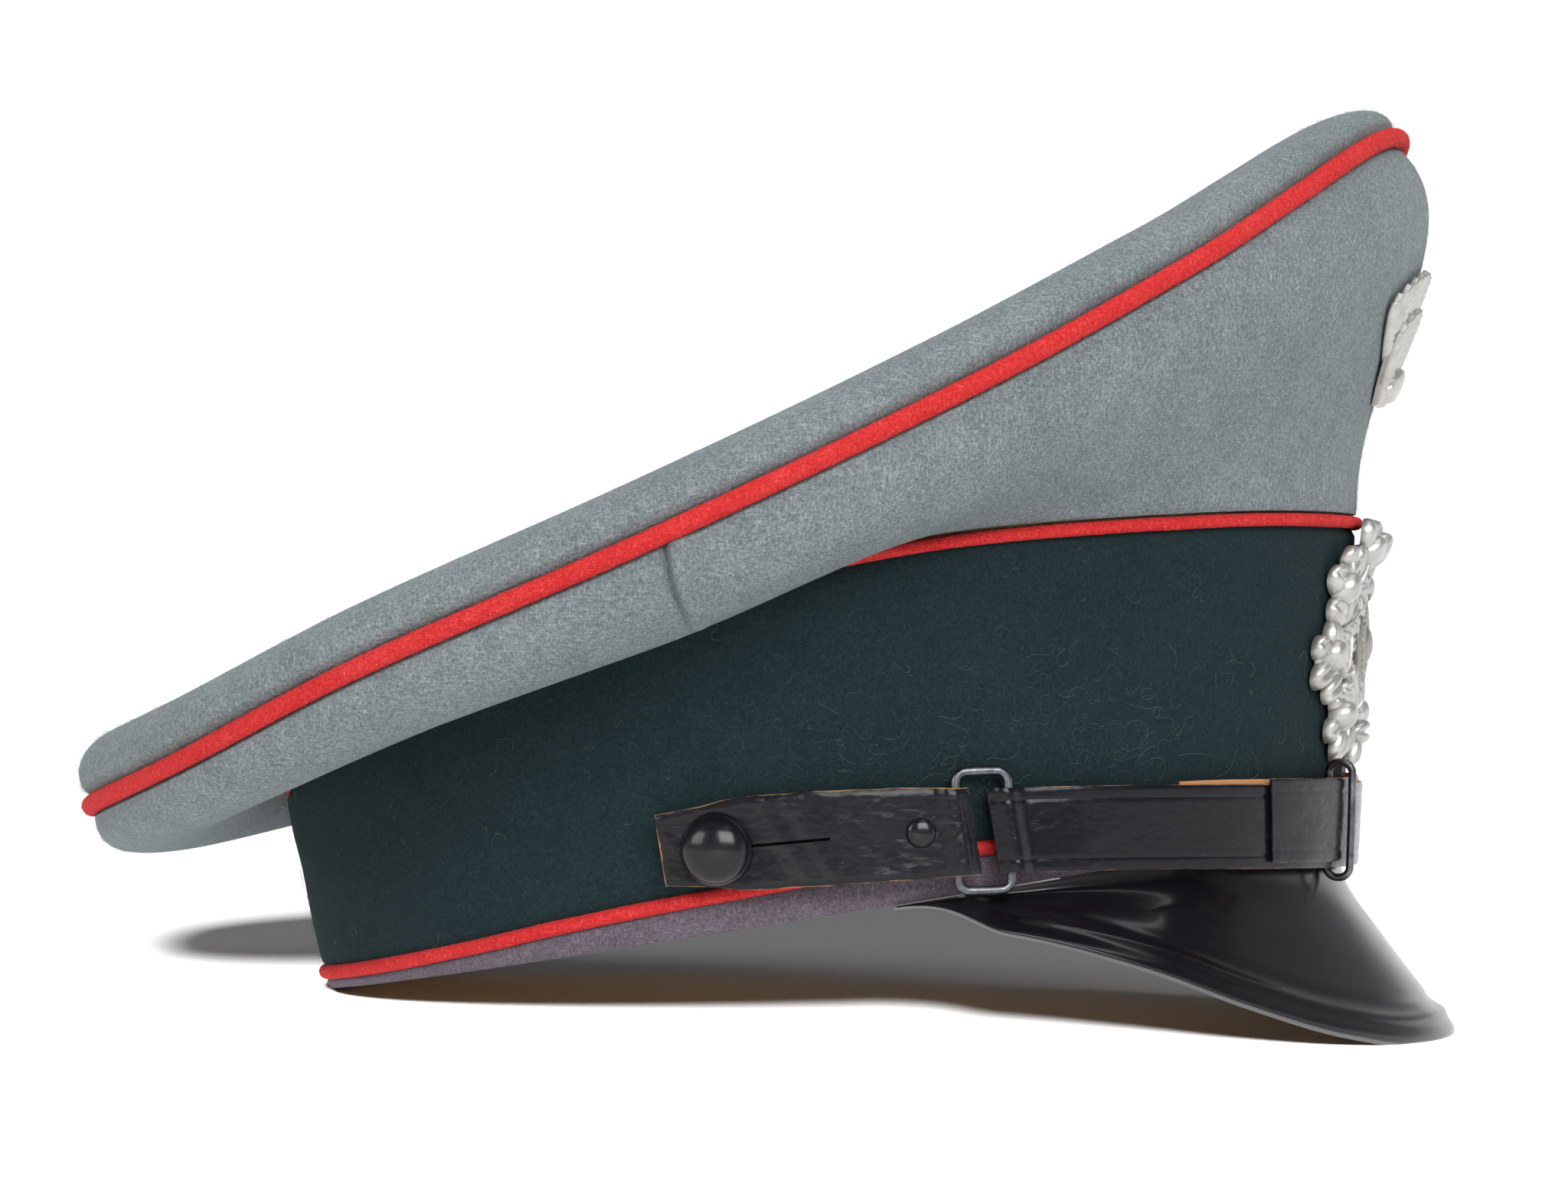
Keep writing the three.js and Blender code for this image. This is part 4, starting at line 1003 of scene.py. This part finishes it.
def wreath_back():
    def ring(standoff):
        def surface(u, v):
            turn = 2 * math.pi * u
            wide, tall = 11.0 + 13.0 * v, 11.0 + 8.0 * v
            z = WREATH_Z + tall * np.cos(turn)
            return front_shell(wide * np.sin(turn), z, standoff + 0 * z)
        return surface
    return closed_sheet("wreath_back_plate", ring(1.3), ring(0.5), 96, 4, SILVER, True)


FRONT_NORMAL = unit(outward(0.0) - UP * float(wall_lean(0.0)))


def badge_roundel():
    """A plain stepped roundel with a fluted ring and a smooth boss."""
    place = on_wall(0.0, WREATH_Z, 0.0)
    profile = [(0, 1.0), (8.3, 1.0), (8.6, 1.5), (8.6, 2.6), (8.2, 3.1), (7.5, 3.2), (7.1, 2.8), (6.4, 2.8),
               (6.1, 3.5), (5.4, 3.8), (4.7, 3.5), (4.4, 3.0), (3.9, 3.0), (3.6, 3.7), (2.6, 4.4),
               (1.3, 4.8), (0, 4.9)]
    disc = turned("roundel_disc", profile, place, FRONT_NORMAL, SILVER, 72)
    beads = []
    first = unit(np.cross(FRONT_NORMAL, UP))
    second = np.cross(FRONT_NORMAL, first)
    for k in range(24):
        turn = 2 * math.pi * k / 24
        spot = place + (first * math.cos(turn) + second * math.sin(turn)) * 6.9 + FRONT_NORMAL * 2.9
        beads.append(turned("bead", [(0, -0.6), (0.62, -0.3), (0.72, 0.1), (0.5, 0.55), (0, 0.75)], spot,
                            FRONT_NORMAL, SILVER, 10))
    whole = joined("roundel_face", [disc] + beads)
    fit(whole, "roundel")


def fan(name, high, low, top_half, foot_half, flutes, standoff, thick):
    """One tier of rounded flutes that open upward over the front of the crown."""
    def shell(u, v, out):
        half = foot_half + (top_half - foot_half) * np.cos(v * math.pi / 2) ** 0.8
        side = 2 * u - 1
        scallop = 0.05 * (1 - v) * np.abs(np.cos(math.pi * flutes * u))
        t = low + (high - low) * (1 - v) * (1 - 0.24 * side ** 2 - scallop)
        angle = side * half / BADGE_RADIUS
        return crown_side(angle, t) + outward(angle) * (out + 0.7 * (1 - v))[..., None]

    def face(u, v):
        flute = np.abs(np.sin(math.pi * flutes * u)) ** 0.6
        barb = 0.12 * np.cos(2 * math.pi * (v * 13 + 1.1 * flute)) * flute
        rim = smoothstep(v, 0, 0.05) * (1 - 0.5 * smoothstep(v, 0.93, 1))
        ends = smoothstep(np.minimum(u, 1 - u), 0, 0.012)
        return shell(u, v, standoff + (thick * flute + barb) * rim * ends)

    def wear(u, v):
        return np.abs(np.sin(math.pi * flutes * u)) ** 0.7 * 0.8 + 0.08
    piece = closed_sheet(name, face, lambda u, v: shell(u, v, 0.5 + 0 * u), 330, 70, SILVER, False, 50, wear)
    fit(piece, None)
    return piece


def upper_badge():
    """A plain two-tiered fan on the front of the crown, with a small domed foot."""
    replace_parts(fan("upper_badge_fan", 0.4, 0.66, 25, 10, 11, 0.8, 1.2), "upper_badge")
    fan("upper_badge_lower_fan", 0.5, 0.745, 15.5, 8, 7, 1.6, 1.2)

    def shell(a, b, rise):
        angle = a / BADGE_RADIUS
        t = 0.7 - b / 70
        return crown_side(angle, t) + outward(angle) * np.asarray(rise)[..., None]
    relief = Relief(shell)
    relief.dome((0, 0), 7.2, 3.2, 0, 1.2, 3.6, 0.0)
    for k in range(-3, 4):
        relief.dome((k * 2.7, -1.9 + 0.12 * k * k), 1.3, 1.5, math.pi / 2, 1.2, 3.0)
    foot = relief.finish("upper_badge_foot")
    fit(foot, None)


# ------------------------------------------------------------ chin strap

PER_DEGREE = (R_SIDE + RING_OUT) * DEG


def ring_angle(side, along):
    """The angle round the band of a place so many millimetres ahead of a side ring."""
    return side * (RING_ANGLE - along / PER_DEGREE * DEG)


def ring_axes(side):
    """A side ring's centre, its direction along the strap and its upright direction."""
    centre = on_strap(side * RING_ANGLE, 0.0, RING_OUT)
    ahead = unit(on_strap(ring_angle(side, 1), 0.0, RING_OUT) - centre)
    out = outward(side * RING_ANGLE)
    up = unit(np.cross(out, ahead) * -side)
    return centre, ahead, up


def swell(angle, leg):
    """How much a strap end thickens where it loops round a ring's leg."""
    along = np.abs(((RING_ANGLE - np.abs(angle)) / DEG * PER_DEGREE - leg) / 2.1)
    return np.exp(-along ** 3)


def cutter(name, size, place, turn=0.0):
    """A box to cut with, in the band frame, turned about the band's Y axis."""
    corners = np.array([(x, y, z) for x in (-0.5, 0.5) for y in (-0.5, 0.5) for z in (-0.5, 0.5)]) * size
    x = corners[:, 0] * math.cos(turn) + corners[:, 2] * math.sin(turn)
    z = -corners[:, 0] * math.sin(turn) + corners[:, 2] * math.cos(turn)
    faces = [(0, 1, 3, 2), (4, 6, 7, 5), (0, 4, 5, 1), (2, 3, 7, 6), (0, 2, 6, 4), (1, 5, 7, 3)]
    return new_object(name, world(place + stack(x, corners[:, 1], z)).tolist(), faces, BOARD)


tab_half = through([(0, 6.7), (0.28, 8.6), (0.75, 8.6), (1, 8.2)])


def strap_tab(name, side):
    """The tab from its button to the ring: slit, button bore, and a bore for the ring's leg."""
    last = abs(ring_angle(side, -1.7))

    def surface(outer):
        def at(u, v):
            angle = side * (TAB_START + (last - TAB_START) * u)
            bulge = swell(angle, -RING_LEG)
            half = tab_half(u) + 0.25 * ripple(u * 6.28, 71 + side, 5, 7)
            cross = np.abs(2 * v - 1)
            edge = 0.35 * smoothstep(cross, 0.9, 1.0) + 0.3 * (1 - smoothstep(u, 0, 0.02))
            sag = 0.25 * ripple(u * 7 + v, 31 + side, 6, 8)
            dent = -0.5 * np.exp(-((u - 0.17) / 0.1) ** 2) * (1 - cross ** 2)
            if outer:
                return on_strap(angle, (2 * v - 1) * half, TAB_OUT + 1.5 * bulge - edge + sag + dent)
            return on_strap(angle, (2 * v - 1) * half, TAB_IN - bulge + 0.6 * edge + sag * 0.5)
        return at

    def wear(u, v):
        cross = np.abs(2 * v - 1)
        return np.maximum(smoothstep(cross, 0.93, 1.0), 1 - smoothstep(u, 0.0, 0.014))
    leather_piece = closed_sheet(f"tab_leather_{name}", surface(True), surface(False), 150, 34, TAB_BLACK,
                                 False, 40, wear)
    middle = on_strap(side * 90 * DEG, 0.0, (TAB_IN + TAB_OUT) / 2)
    slit_place = np.array((middle[0] + TAB_SLIT / 2, middle[1], BUTTON_HEIGHT - 0.7))
    slit = cutter("slit", (TAB_SLIT, 8, 0.55), slit_place, 0.07)
    bore = turned("bore", [(0, -8), (BUTTON_SHANK + 0.4, -8), (BUTTON_SHANK + 0.4, 8), (0, 8)],
                  np.array((middle[0], middle[1], BUTTON_HEIGHT)), (0, side, 0), BOARD, 32)
    centre, ahead, up = ring_axes(side)
    leg = turned("leg", [(0, -16), (1.2, -16), (1.2, 16), (0, 16)], centre - ahead * RING_LEG, up, BOARD, 24)
    cut_away(leather_piece, [slit, bore, leg])
    fit(leather_piece, f"strap_tab_{name}")


def button(name, side):
    place = on_wall(side * 90 * DEG, BUTTON_HEIGHT, 0.0)
    base = TAB_OUT + 0.5
    dome = [(6.35 * math.cos(t), base + 1.3 + 4.1 * math.sin(t)) for t in np.linspace(0.12, math.pi / 2, 18)]
    dome[-1] = (0.0, dome[-1][1])
    profile = [(0, -4.9), (3.6, -4.9), (3.6, -4.3), (BUTTON_SHANK, -4.1), (BUTTON_SHANK, base), (5.9, base),
               (6.5, base + 0.15), (6.75, base + 0.55), (6.7, base + 0.95), (6.45, base + 1.15)] + dome
    piece = turned(f"dome_button_{name}", profile, place, (0, side, 0), BLACK_METAL, 96, 50)
    fit(piece, f"side_button_{name}", f"button_{name}")


def rivet(name, side):
    place = on_strap(side * RIVET_ANGLE, 0.0, 0.0)
    top = TAB_OUT + 0.15
    dome = [(2.75 * math.cos(t), top + 0.25 + 1.25 * math.sin(t)) for t in np.linspace(0.1, math.pi / 2, 10)]
    dome[-1] = (0.0, dome[-1][1])
    profile = [(0, 1.8), (2, 1.8), (2, 2.3), (0.9, 2.3), (0.9, top), (2.8, top)] + dome
    piece = turned(f"stud_{name}", profile, place, outward(side * RIVET_ANGLE), BLACK_METAL, 48, 50)
    fit(piece, f"tab_rivet_{name}")


def wire_loop(name, centre, first, half_first, second, half_second, corner, radius):
    """A wire loop with rounded corners in the plane of two directions."""
    turn = np.arange(160) / 160 * 2 * math.pi
    c, s = np.cos(turn), np.sin(turn)
    a = np.sign(c) * (half_first - corner) * np.minimum(1, np.abs(c) * 4) + corner * c
    b = np.sign(s) * (half_second - corner) * np.minimum(1, np.abs(s) * 4) + corner * s
    path = centre + first * a[:, None] + second * b[:, None]
    return tube(name, path, radius, DARK_WIRE, 16, True, np.cross(first, second))


def side_ring(name, side):
    centre, ahead, up = ring_axes(side)
    piece = wire_loop(f"ring_wire_{name}", centre, ahead, RING_LEG, up, RING_HALF, 2.4, RING_WIRE)
    fit(piece, f"side_ring_{name}")


def slider(name, side):
    angle = side * SLIDER[name]
    centre = on_strap(angle, SLIDER_LIFT, (SLIDER_IN + SLIDER_OUT) / 2)
    up = unit(outward(angle) * SLIDER_LEAN + UP)
    along = outward(angle + 90 * DEG)
    out = unit(np.cross(along, up))
    piece = wire_loop(f"slider_wire_{name}", centre, out, (SLIDER_OUT - SLIDER_IN) / 2, up, SLIDER_HALF, 2.3,
                      SLIDER_WIRE)
    fit(piece, f"slider_{name}", f"slider_{name}")


def strap_strip(name, first, last, inside, outside, half, lift, columns, material, lines=True, loop=False):
    """A run of strap leather with rounded edges and two tooled lines along it."""
    def surface(outer):
        def at(u, v):
            angle = first + (last - first) * u
            cross = np.abs(2 * v - 1)
            edge = 0.22 * smoothstep(cross, 0.93, 1)
            groove = 0.16 * np.exp(-((cross - 0.7) / 0.035) ** 2) if lines else 0
            bulge = swell(angle, RING_LEG) if loop else 0 * angle
            out = outside + (RING_OUT + 2.4 - outside) * bulge - edge - groove
            into = inside + (RING_OUT - 2.3 - inside) * bulge + edge * 0.5
            side_lift = lift(angle) if callable(lift) else lift
            return on_strap(angle, (2 * v - 1) * half + side_lift, out if outer else into)
        return at

    def wear(u, v):
        return 0.9 * smoothstep(np.abs(2 * v - 1), 0.955, 1.0)
    return closed_sheet(name, surface(True), surface(False), columns, 48, material, False, 40, wear)


def tilted(direction, angle):
    """A direction turned about the Y axis."""
    x, y, z = direction
    return np.array((x * math.cos(angle) + z * math.sin(angle), y, z * math.cos(angle) - x * math.sin(angle)))


RIGHT_JOINT, LEFT_JOINT = -24 * DEG, 34 * DEG


def strap():
    """The front of the strap in two layers, the side runs, and the strap ends that the sliders carry."""
    middle = strap_strip("strap_black_front", RIGHT_JOINT, LEFT_JOINT, STRAP_MID, STRAP_OUT, STRAP_HALF, 0.0,
                         110, STRAP_BLACK)
    fit(middle, "strap_outer_layer", "strap_front")
    rise = through([(-90, 0.1), (-62, 0.1), (-40, 0.95), (40, 0.95), (62, 0.1), (90, 0.1)])
    inner = strap_strip("strap_tan_front", -STRAP_JOINT, STRAP_JOINT, STRAP_IN, STRAP_MID - 0.08, STRAP_HALF,
                        lambda a: rise(a / DEG), 150, STRAP_TAN, False)
    fit(inner, "strap_inner_layer", "strap_front")
    for name, side in SIDES:
        joint = LEFT_JOINT if side > 0 else RIGHT_JOINT
        last = ring_angle(side, 1.7)
        run = strap_strip(f"strap_black_side_{name}", joint, last, STRAP_MID - 0.05, STRAP_OUT, STRAP_HALF,
                          0.0, 120, STRAP_BLACK, True, True)
        centre, ahead, up = ring_axes(side)
        legs = [turned("leg", [(0, -16), (1.35, -16), (1.35, 16), (0, 16)], centre + ahead * RING_LEG,
                       tilted(up, -lean), BOARD, 24) for lean in (0, 4 * DEG, 8 * DEG, 12 * DEG)]
        cut_away(run, legs)
        start = world(on_strap(ring_angle(side, 6), 0.0, 4.0))
        end = world(on_strap(side * 42 * DEG, 0.0, 4.0))
        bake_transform(run)
        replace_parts(run, f"strap_side_run_{name}")
        near, far = side * (SLIDER[name] + END_NEAR), side * (SLIDER[name] + END_FAR)
        end_piece = strap_strip(f"strap_end_{name}", near, far, END_IN, END_OUT, STRAP_HALF, END_LIFT, 60,
                                STRAP_BLACK)
        fit(end_piece, f"slider_strap_end_{name}", f"slider_{name}")


# ------------------------------------------------------------ lint

def band_surface(angle, v):
    low = lower_piping(angle) + LOWER_PIPING
    return on_wall(angle, low + (band_top(angle) - UPPER_PIPING - low) * v, 0.25)


def side_surface(angle, v):
    edge = np.abs(np.abs(angle) - SEAM) * CROWN_RADIUS
    edge = np.minimum(edge, np.abs(math.pi - np.abs(angle)) * CROWN_RADIUS)
    return panel_surface(angle, v, edge)


def fibres(name, seed, count, surface, spots, length, curl, radius, steps, rise, material):
    """Loose hairs that lie on a cloth surface(angle, v), bent at random and lifted a little."""
    rng = np.random.default_rng(seed)
    angle, v = spots(rng, count)
    here = surface(angle, v)
    along = unit(surface(angle + SURFACE_STEP, v) - here)
    down = surface(angle, v + SURFACE_STEP) - here
    normal = unit(np.cross(along, down))
    normal *= np.where((normal * outward(angle)).sum(-1) + normal[..., 2] * 0.4 < 0, -1, 1)[:, None]
    across = np.cross(normal, along)
    heading = rng.uniform(0, 2 * math.pi, count)
    reach = rng.uniform(*length, count)
    bend = rng.normal(0, curl, count)
    wave, phase = rng.uniform(-1, 1, count) * curl, rng.uniform(0, 2 * math.pi, count)
    lift = rng.uniform(0.3, 1, count) * rise
    path = [here + normal * 0.05]
    for k in range(1, steps):
        t = k / (steps - 1)
        way = heading + bend * t + wave * np.sin(5 * t + phase)
        stride = (reach / (steps - 1))[:, None]
        path.append(path[-1] + (along * np.cos(way)[:, None] + across * np.sin(way)[:, None]) * stride)
    place = np.stack(path, axis=1)
    t = np.linspace(0, 1, steps)
    place += normal[:, None] * (lift[:, None] * np.sin(math.pi * np.minimum(1, t * 0.62))[None])[..., None]
    turn = np.arange(3) * 2 * math.pi / 3
    widths = radius * (1 - 0.6 * t)[None, :, None, None]
    spokes = (normal[:, None] * np.cos(turn)[None, :, None] + across[:, None] * np.sin(turn)[None, :, None])
    rings = place[:, :, None] + spokes[:, None] * widths
    verts = world(rings.reshape(-1, 3))
    faces = []
    for i in range(count):
        base = i * steps * 3
        for j in range(steps - 1):
            a = base + j * 3
            faces += [(a, a + 1, a + 4, a + 3), (a + 1, a + 2, a + 5, a + 4), (a + 2, a, a + 3, a + 5)]
        last = base + (steps - 1) * 3
        faces += [(base + 2, base + 1, base), (last, last + 1, last + 2)]
    mesh = bpy.data.meshes.new(name)
    mesh.from_pydata(verts.tolist(), [], faces)
    fit(add_object(name, mesh, material), None)


def loose_fibres():
    """Lint on the dark band, and the short nap that softens each cloth's outline."""
    def even(low, high):
        return lambda rng, n: (rng.uniform(-math.pi, math.pi, n), rng.uniform(low, high, n))

    def drift(rng, n):
        side = rng.choice((-1, 1), n, p=(0.75, 0.25))
        return side * rng.normal(66, 11, n) * DEG, np.clip(rng.normal(0.36, 0.17, n), 0.04, 0.95)
    def rim_surface(angle, v):
        return rim_point(angle) + outward(angle) * (RIM_PIPING * np.sin(v * math.pi))[..., None] \
            - UP * (RIM_PIPING * np.cos(v * math.pi))[..., None]
    band_span, side_span, top_span = even(0.02, 0.98), even(0.02, 0.98), even(0.1, 0.86)
    nap, low_nap = (0.7, 2.2), (0.5, 1.6)
    for name, seed, count, surface, spots, length, curl, radius, steps, rise, material in (
        ("lint_on_band", 5, 150, band_surface, even(0.04, 0.95), (1.5, 8), 2.2, 0.028, 9, 0.5, LINT),
        ("lint_drift_on_band", 6, 210, band_surface, drift, (2, 11), 2.8, 0.026, 12, 0.8, LINT),
        ("lint_on_crown", 7, 160, side_surface, even(0.1, 0.92), (1.5, 6), 2.0, 0.026, 8, 0.5, LINT),
        ("nap_on_crown_side", 8, 9000, side_surface, side_span, nap, 1.2, 0.024, 4, 0.5, NAP),
        ("nap_on_crown_top", 9, 8000, crown_top_surface, top_span, nap, 1.2, 0.024, 4, 0.55, NAP),
        ("nap_on_band", 10, 5000, band_surface, band_span, low_nap, 1.2, 0.018, 4, 0.25, DARK_NAP),
        ("nap_on_rim_piping", 11, 1800, rim_surface, even(0.1, 0.9), (0.5, 1.5), 1.2, 0.02, 4, 0.4, RED_NAP),
    ):
        fibres(name, seed, count, surface, spots, length, curl, radius, steps, rise, material)


# ------------------------------------------------------------ carried-over nodes

def hidden_nodes():
    for node, material in (("crown_ring_wire", SPRING), ("front_stay", BOARD), ("band_stiffener", BOARD)):
        for slot in frame["nodes"][node].material_slots:
            slot.material = material


# ------------------------------------------------------------ stage, lights and camera

FLOOR_REACH, SWEEP_FOOT, SWEEP_BEND, WALL_TOP = 1.9, 2.2, 1.2, 3.2


def revolved(name, profile, material, segments=96):
    """A surface swept round the vertical through the origin from (radius, height) pairs in metres."""
    verts, faces = [], []
    count = len(profile)
    for k in range(segments):
        turn = 2 * math.pi * k / segments
        verts += [(r * math.cos(turn), r * math.sin(turn), h) for r, h in profile]
        a, b = k * count, ((k + 1) % segments) * count
        faces += [(a + i, b + i, b + i + 1, a + i + 1) for i in range(count - 1)]
    piece = new_object(name, verts, faces, material, 60)
    piece.data.flip_normals()
    return piece


def paper(look):
    return look.mix(look.ramp(look.noise(3, 2), 0.3, 0.7), (0.86, 0.86, 0.86, 1), (0.88, 0.88, 0.88, 1))


def stage():
    """A pale round floor, and round it a sweep that glows: bright behind the cap, dim before it."""
    plain_floor = Look("pale_floor", Roughness=0.9, Specular_IOR_Level=0.1)
    plain_floor.set(Base_Color=paper(plain_floor))
    disc = [(r, 0.0) for r in (0.0, 0.4, 0.8, 1.2, FLOOR_REACH)]
    floor = revolved("studio_floor", disc, plain_floor.material)
    look = Look("bright_backdrop", Roughness=0.9, Specular_IOR_Level=0.1)
    parts = look.node("SeparateXYZ", {"Vector": look.place})
    low = look.node("MapRange", {"Value": parts.outputs["Z"], "From Min": 0.5, "From Max": 1.3, "To Min": 1.0,
                                 "To Max": 0.12}, interpolation_type="SMOOTHSTEP").outputs["Result"]
    behind = look.ramp(parts.outputs["Y"], -1.2, 0.2, 0.3, 1.05)
    look.shader.inputs["Emission Color"].default_value = (1, 1, 1, 1)
    look.set(Base_Color=paper(look), Emission_Strength=look.math("MULTIPLY", low, behind))
    bend = np.linspace(0.1, math.pi / 2, 14)
    profile = [(FLOOR_REACH, 0.0), (SWEEP_FOOT, 0.0)]
    profile += [(SWEEP_FOOT + SWEEP_BEND * math.sin(t), SWEEP_BEND - SWEEP_BEND * math.cos(t)) for t in bend]
    profile.append((SWEEP_FOOT + SWEEP_BEND, WALL_TOP))
    sweep = revolved("studio_sweep", profile, look.material)
    sweep.visible_diffuse = False
    sweep.visible_shadow = False
    return [floor, sweep]


def area_light(name, place, size, power, lit, target=None, glossy=True):
    """A soft light that lights only what the collection lit says."""
    light = bpy.data.lights.new(name, "AREA")
    light.shape = "RECTANGLE"
    light.size, light.size_y = size
    light.energy = power
    lamp = bpy.data.objects.new(name, light)
    lamp.location = place
    lamp.rotation_euler = (Vector(target or CAP_MIDDLE) - Vector(place)).to_track_quat("-Z", "Y").to_euler()
    bpy.context.scene.collection.objects.link(lamp)
    lamp.light_linking.receiver_collection = lit
    lamp.visible_glossy = glossy


def sun_light(name, elevation, azimuth, spread, strength, lit, shading):
    """A low wide sun from the camera's side; azimuth turns it to the right; angles in degrees."""
    light = bpy.data.lights.new(name, "SUN")
    light.energy = strength
    light.angle = spread * DEG
    lamp = bpy.data.objects.new(name, light)
    rise, turn = elevation * DEG, azimuth * DEG
    toward = Vector((math.cos(rise) * math.sin(turn), -math.cos(rise) * math.cos(turn), math.sin(rise)))
    lamp.rotation_euler = toward.to_track_quat("Z", "Y").to_euler()
    bpy.context.scene.collection.objects.link(lamp)
    lamp.light_linking.receiver_collection = lit
    lamp.light_linking.blocker_collection = shading


def receivers(name, pieces, state):
    """A collection that a light lights only, or everything but."""
    group = bpy.data.collections.new(name)
    for piece in pieces:
        group.objects.link(piece)
    for link in group.collection_objects:
        link.light_linking.link_state = state
    return group


SOFTBOXES = (
    ("key_softbox", (0.9, -1.7, 1.2), (1.5, 1.1), 42, True),
    ("fill_softbox", (-1.5, -1.3, 0.9), (1.2, 1.0), 18, True),
    ("top_softbox", (0.1, 0.0, 1.7), (1.6, 1.5), 15, True),
    ("rear_left_softbox", (-1.2, 1.5, 1.0), (1.3, 1.0), 11, False),
    ("rear_right_softbox", (1.3, 1.4, 1.1), (1.3, 1.0), 11, False),
)
CAP_MIDDLE = (0, 0, 0.08)
WORLD_LIGHT = 0.06


def lights(pieces):
    """Separate lights for the floor and the cap, so that the floor can be white behind both."""
    only_floor = receivers("floor_only", pieces[:1], "INCLUDE")
    no_floor = receivers("all_but_stage", pieces, "EXCLUDE")
    above = (0.45, -0.25)
    area_light("floor_overhead", (*above, 1.9), (2.0, 2.0), 5, only_floor, (*above, 0))
    sun_light("floor_sun", 14.0, 8.0, 5.0, 16.5, only_floor, no_floor)
    for name, place, size, power, glossy in SOFTBOXES:
        area_light(name, place, size, power, no_floor, glossy=glossy)
    scene_world = bpy.data.worlds.new("studio_world")
    scene_world.use_nodes = True
    background = scene_world.node_tree.nodes["Background"]
    background.inputs["Color"].default_value = (1, 1, 1, 1)
    background.inputs["Strength"].default_value = WORLD_LIGHT
    bpy.context.scene.world = scene_world
    bpy.context.scene.view_settings.view_transform = "Standard"


AIM_X, AIM_Z = -10.45, 61.5


def camera():
    """At the photograph's angle: level, 9 degrees round to the front, rolled by 1.95 degrees."""
    yaw, roll, distance = 9 * DEG, 1.95 * DEG, 1.2
    data = bpy.data.cameras.new("photo_camera")
    data.lens, data.sensor_width, data.clip_end = 137.74, 36.0, 20.0
    viewer = bpy.data.objects.new("photo_camera", data)
    flat = Vector((math.cos(yaw), math.sin(yaw), 0))
    up = Vector((0, 0, 1))
    back = Vector((math.sin(yaw), -math.cos(yaw), 0))
    right = flat * math.cos(roll) + up * math.sin(roll)
    top = up * math.cos(roll) - flat * math.sin(roll)
    turn = Matrix((right, top, back)).transposed().to_4x4()
    place = back * distance + Vector(((ORIGIN_X + AIM_X) / 1000, 0, (ORIGIN_Z + AIM_Z) / 1000))
    viewer.matrix_world = Matrix.Translation(place) @ turn
    bpy.context.scene.collection.objects.link(viewer)
    bpy.context.scene.camera = viewer


# ------------------------------------------------------------ all of it

camera()
lights(stage())
crown_top()
crown_panel("front_panel_cloth", -SEAM, SEAM, 300, "crown_front_panel")
crown_panel("rear_panel_cloth_left", SEAM, math.pi, 150, "crown_rear_panel_left")
crown_panel("rear_panel_cloth_right", -math.pi, -SEAM, 150, "crown_rear_panel_right")
crown_lining()
band()
sweatband()
bow()
visor()
wreath()
badge_roundel()
upper_badge()
for side_name, side_sign in SIDES:
    strap_tab(side_name, side_sign)
    button(side_name, side_sign)
    rivet(side_name, side_sign)
    side_ring(side_name, side_sign)
    slider(side_name, side_sign)
strap()
loose_fibres()
hidden_nodes()
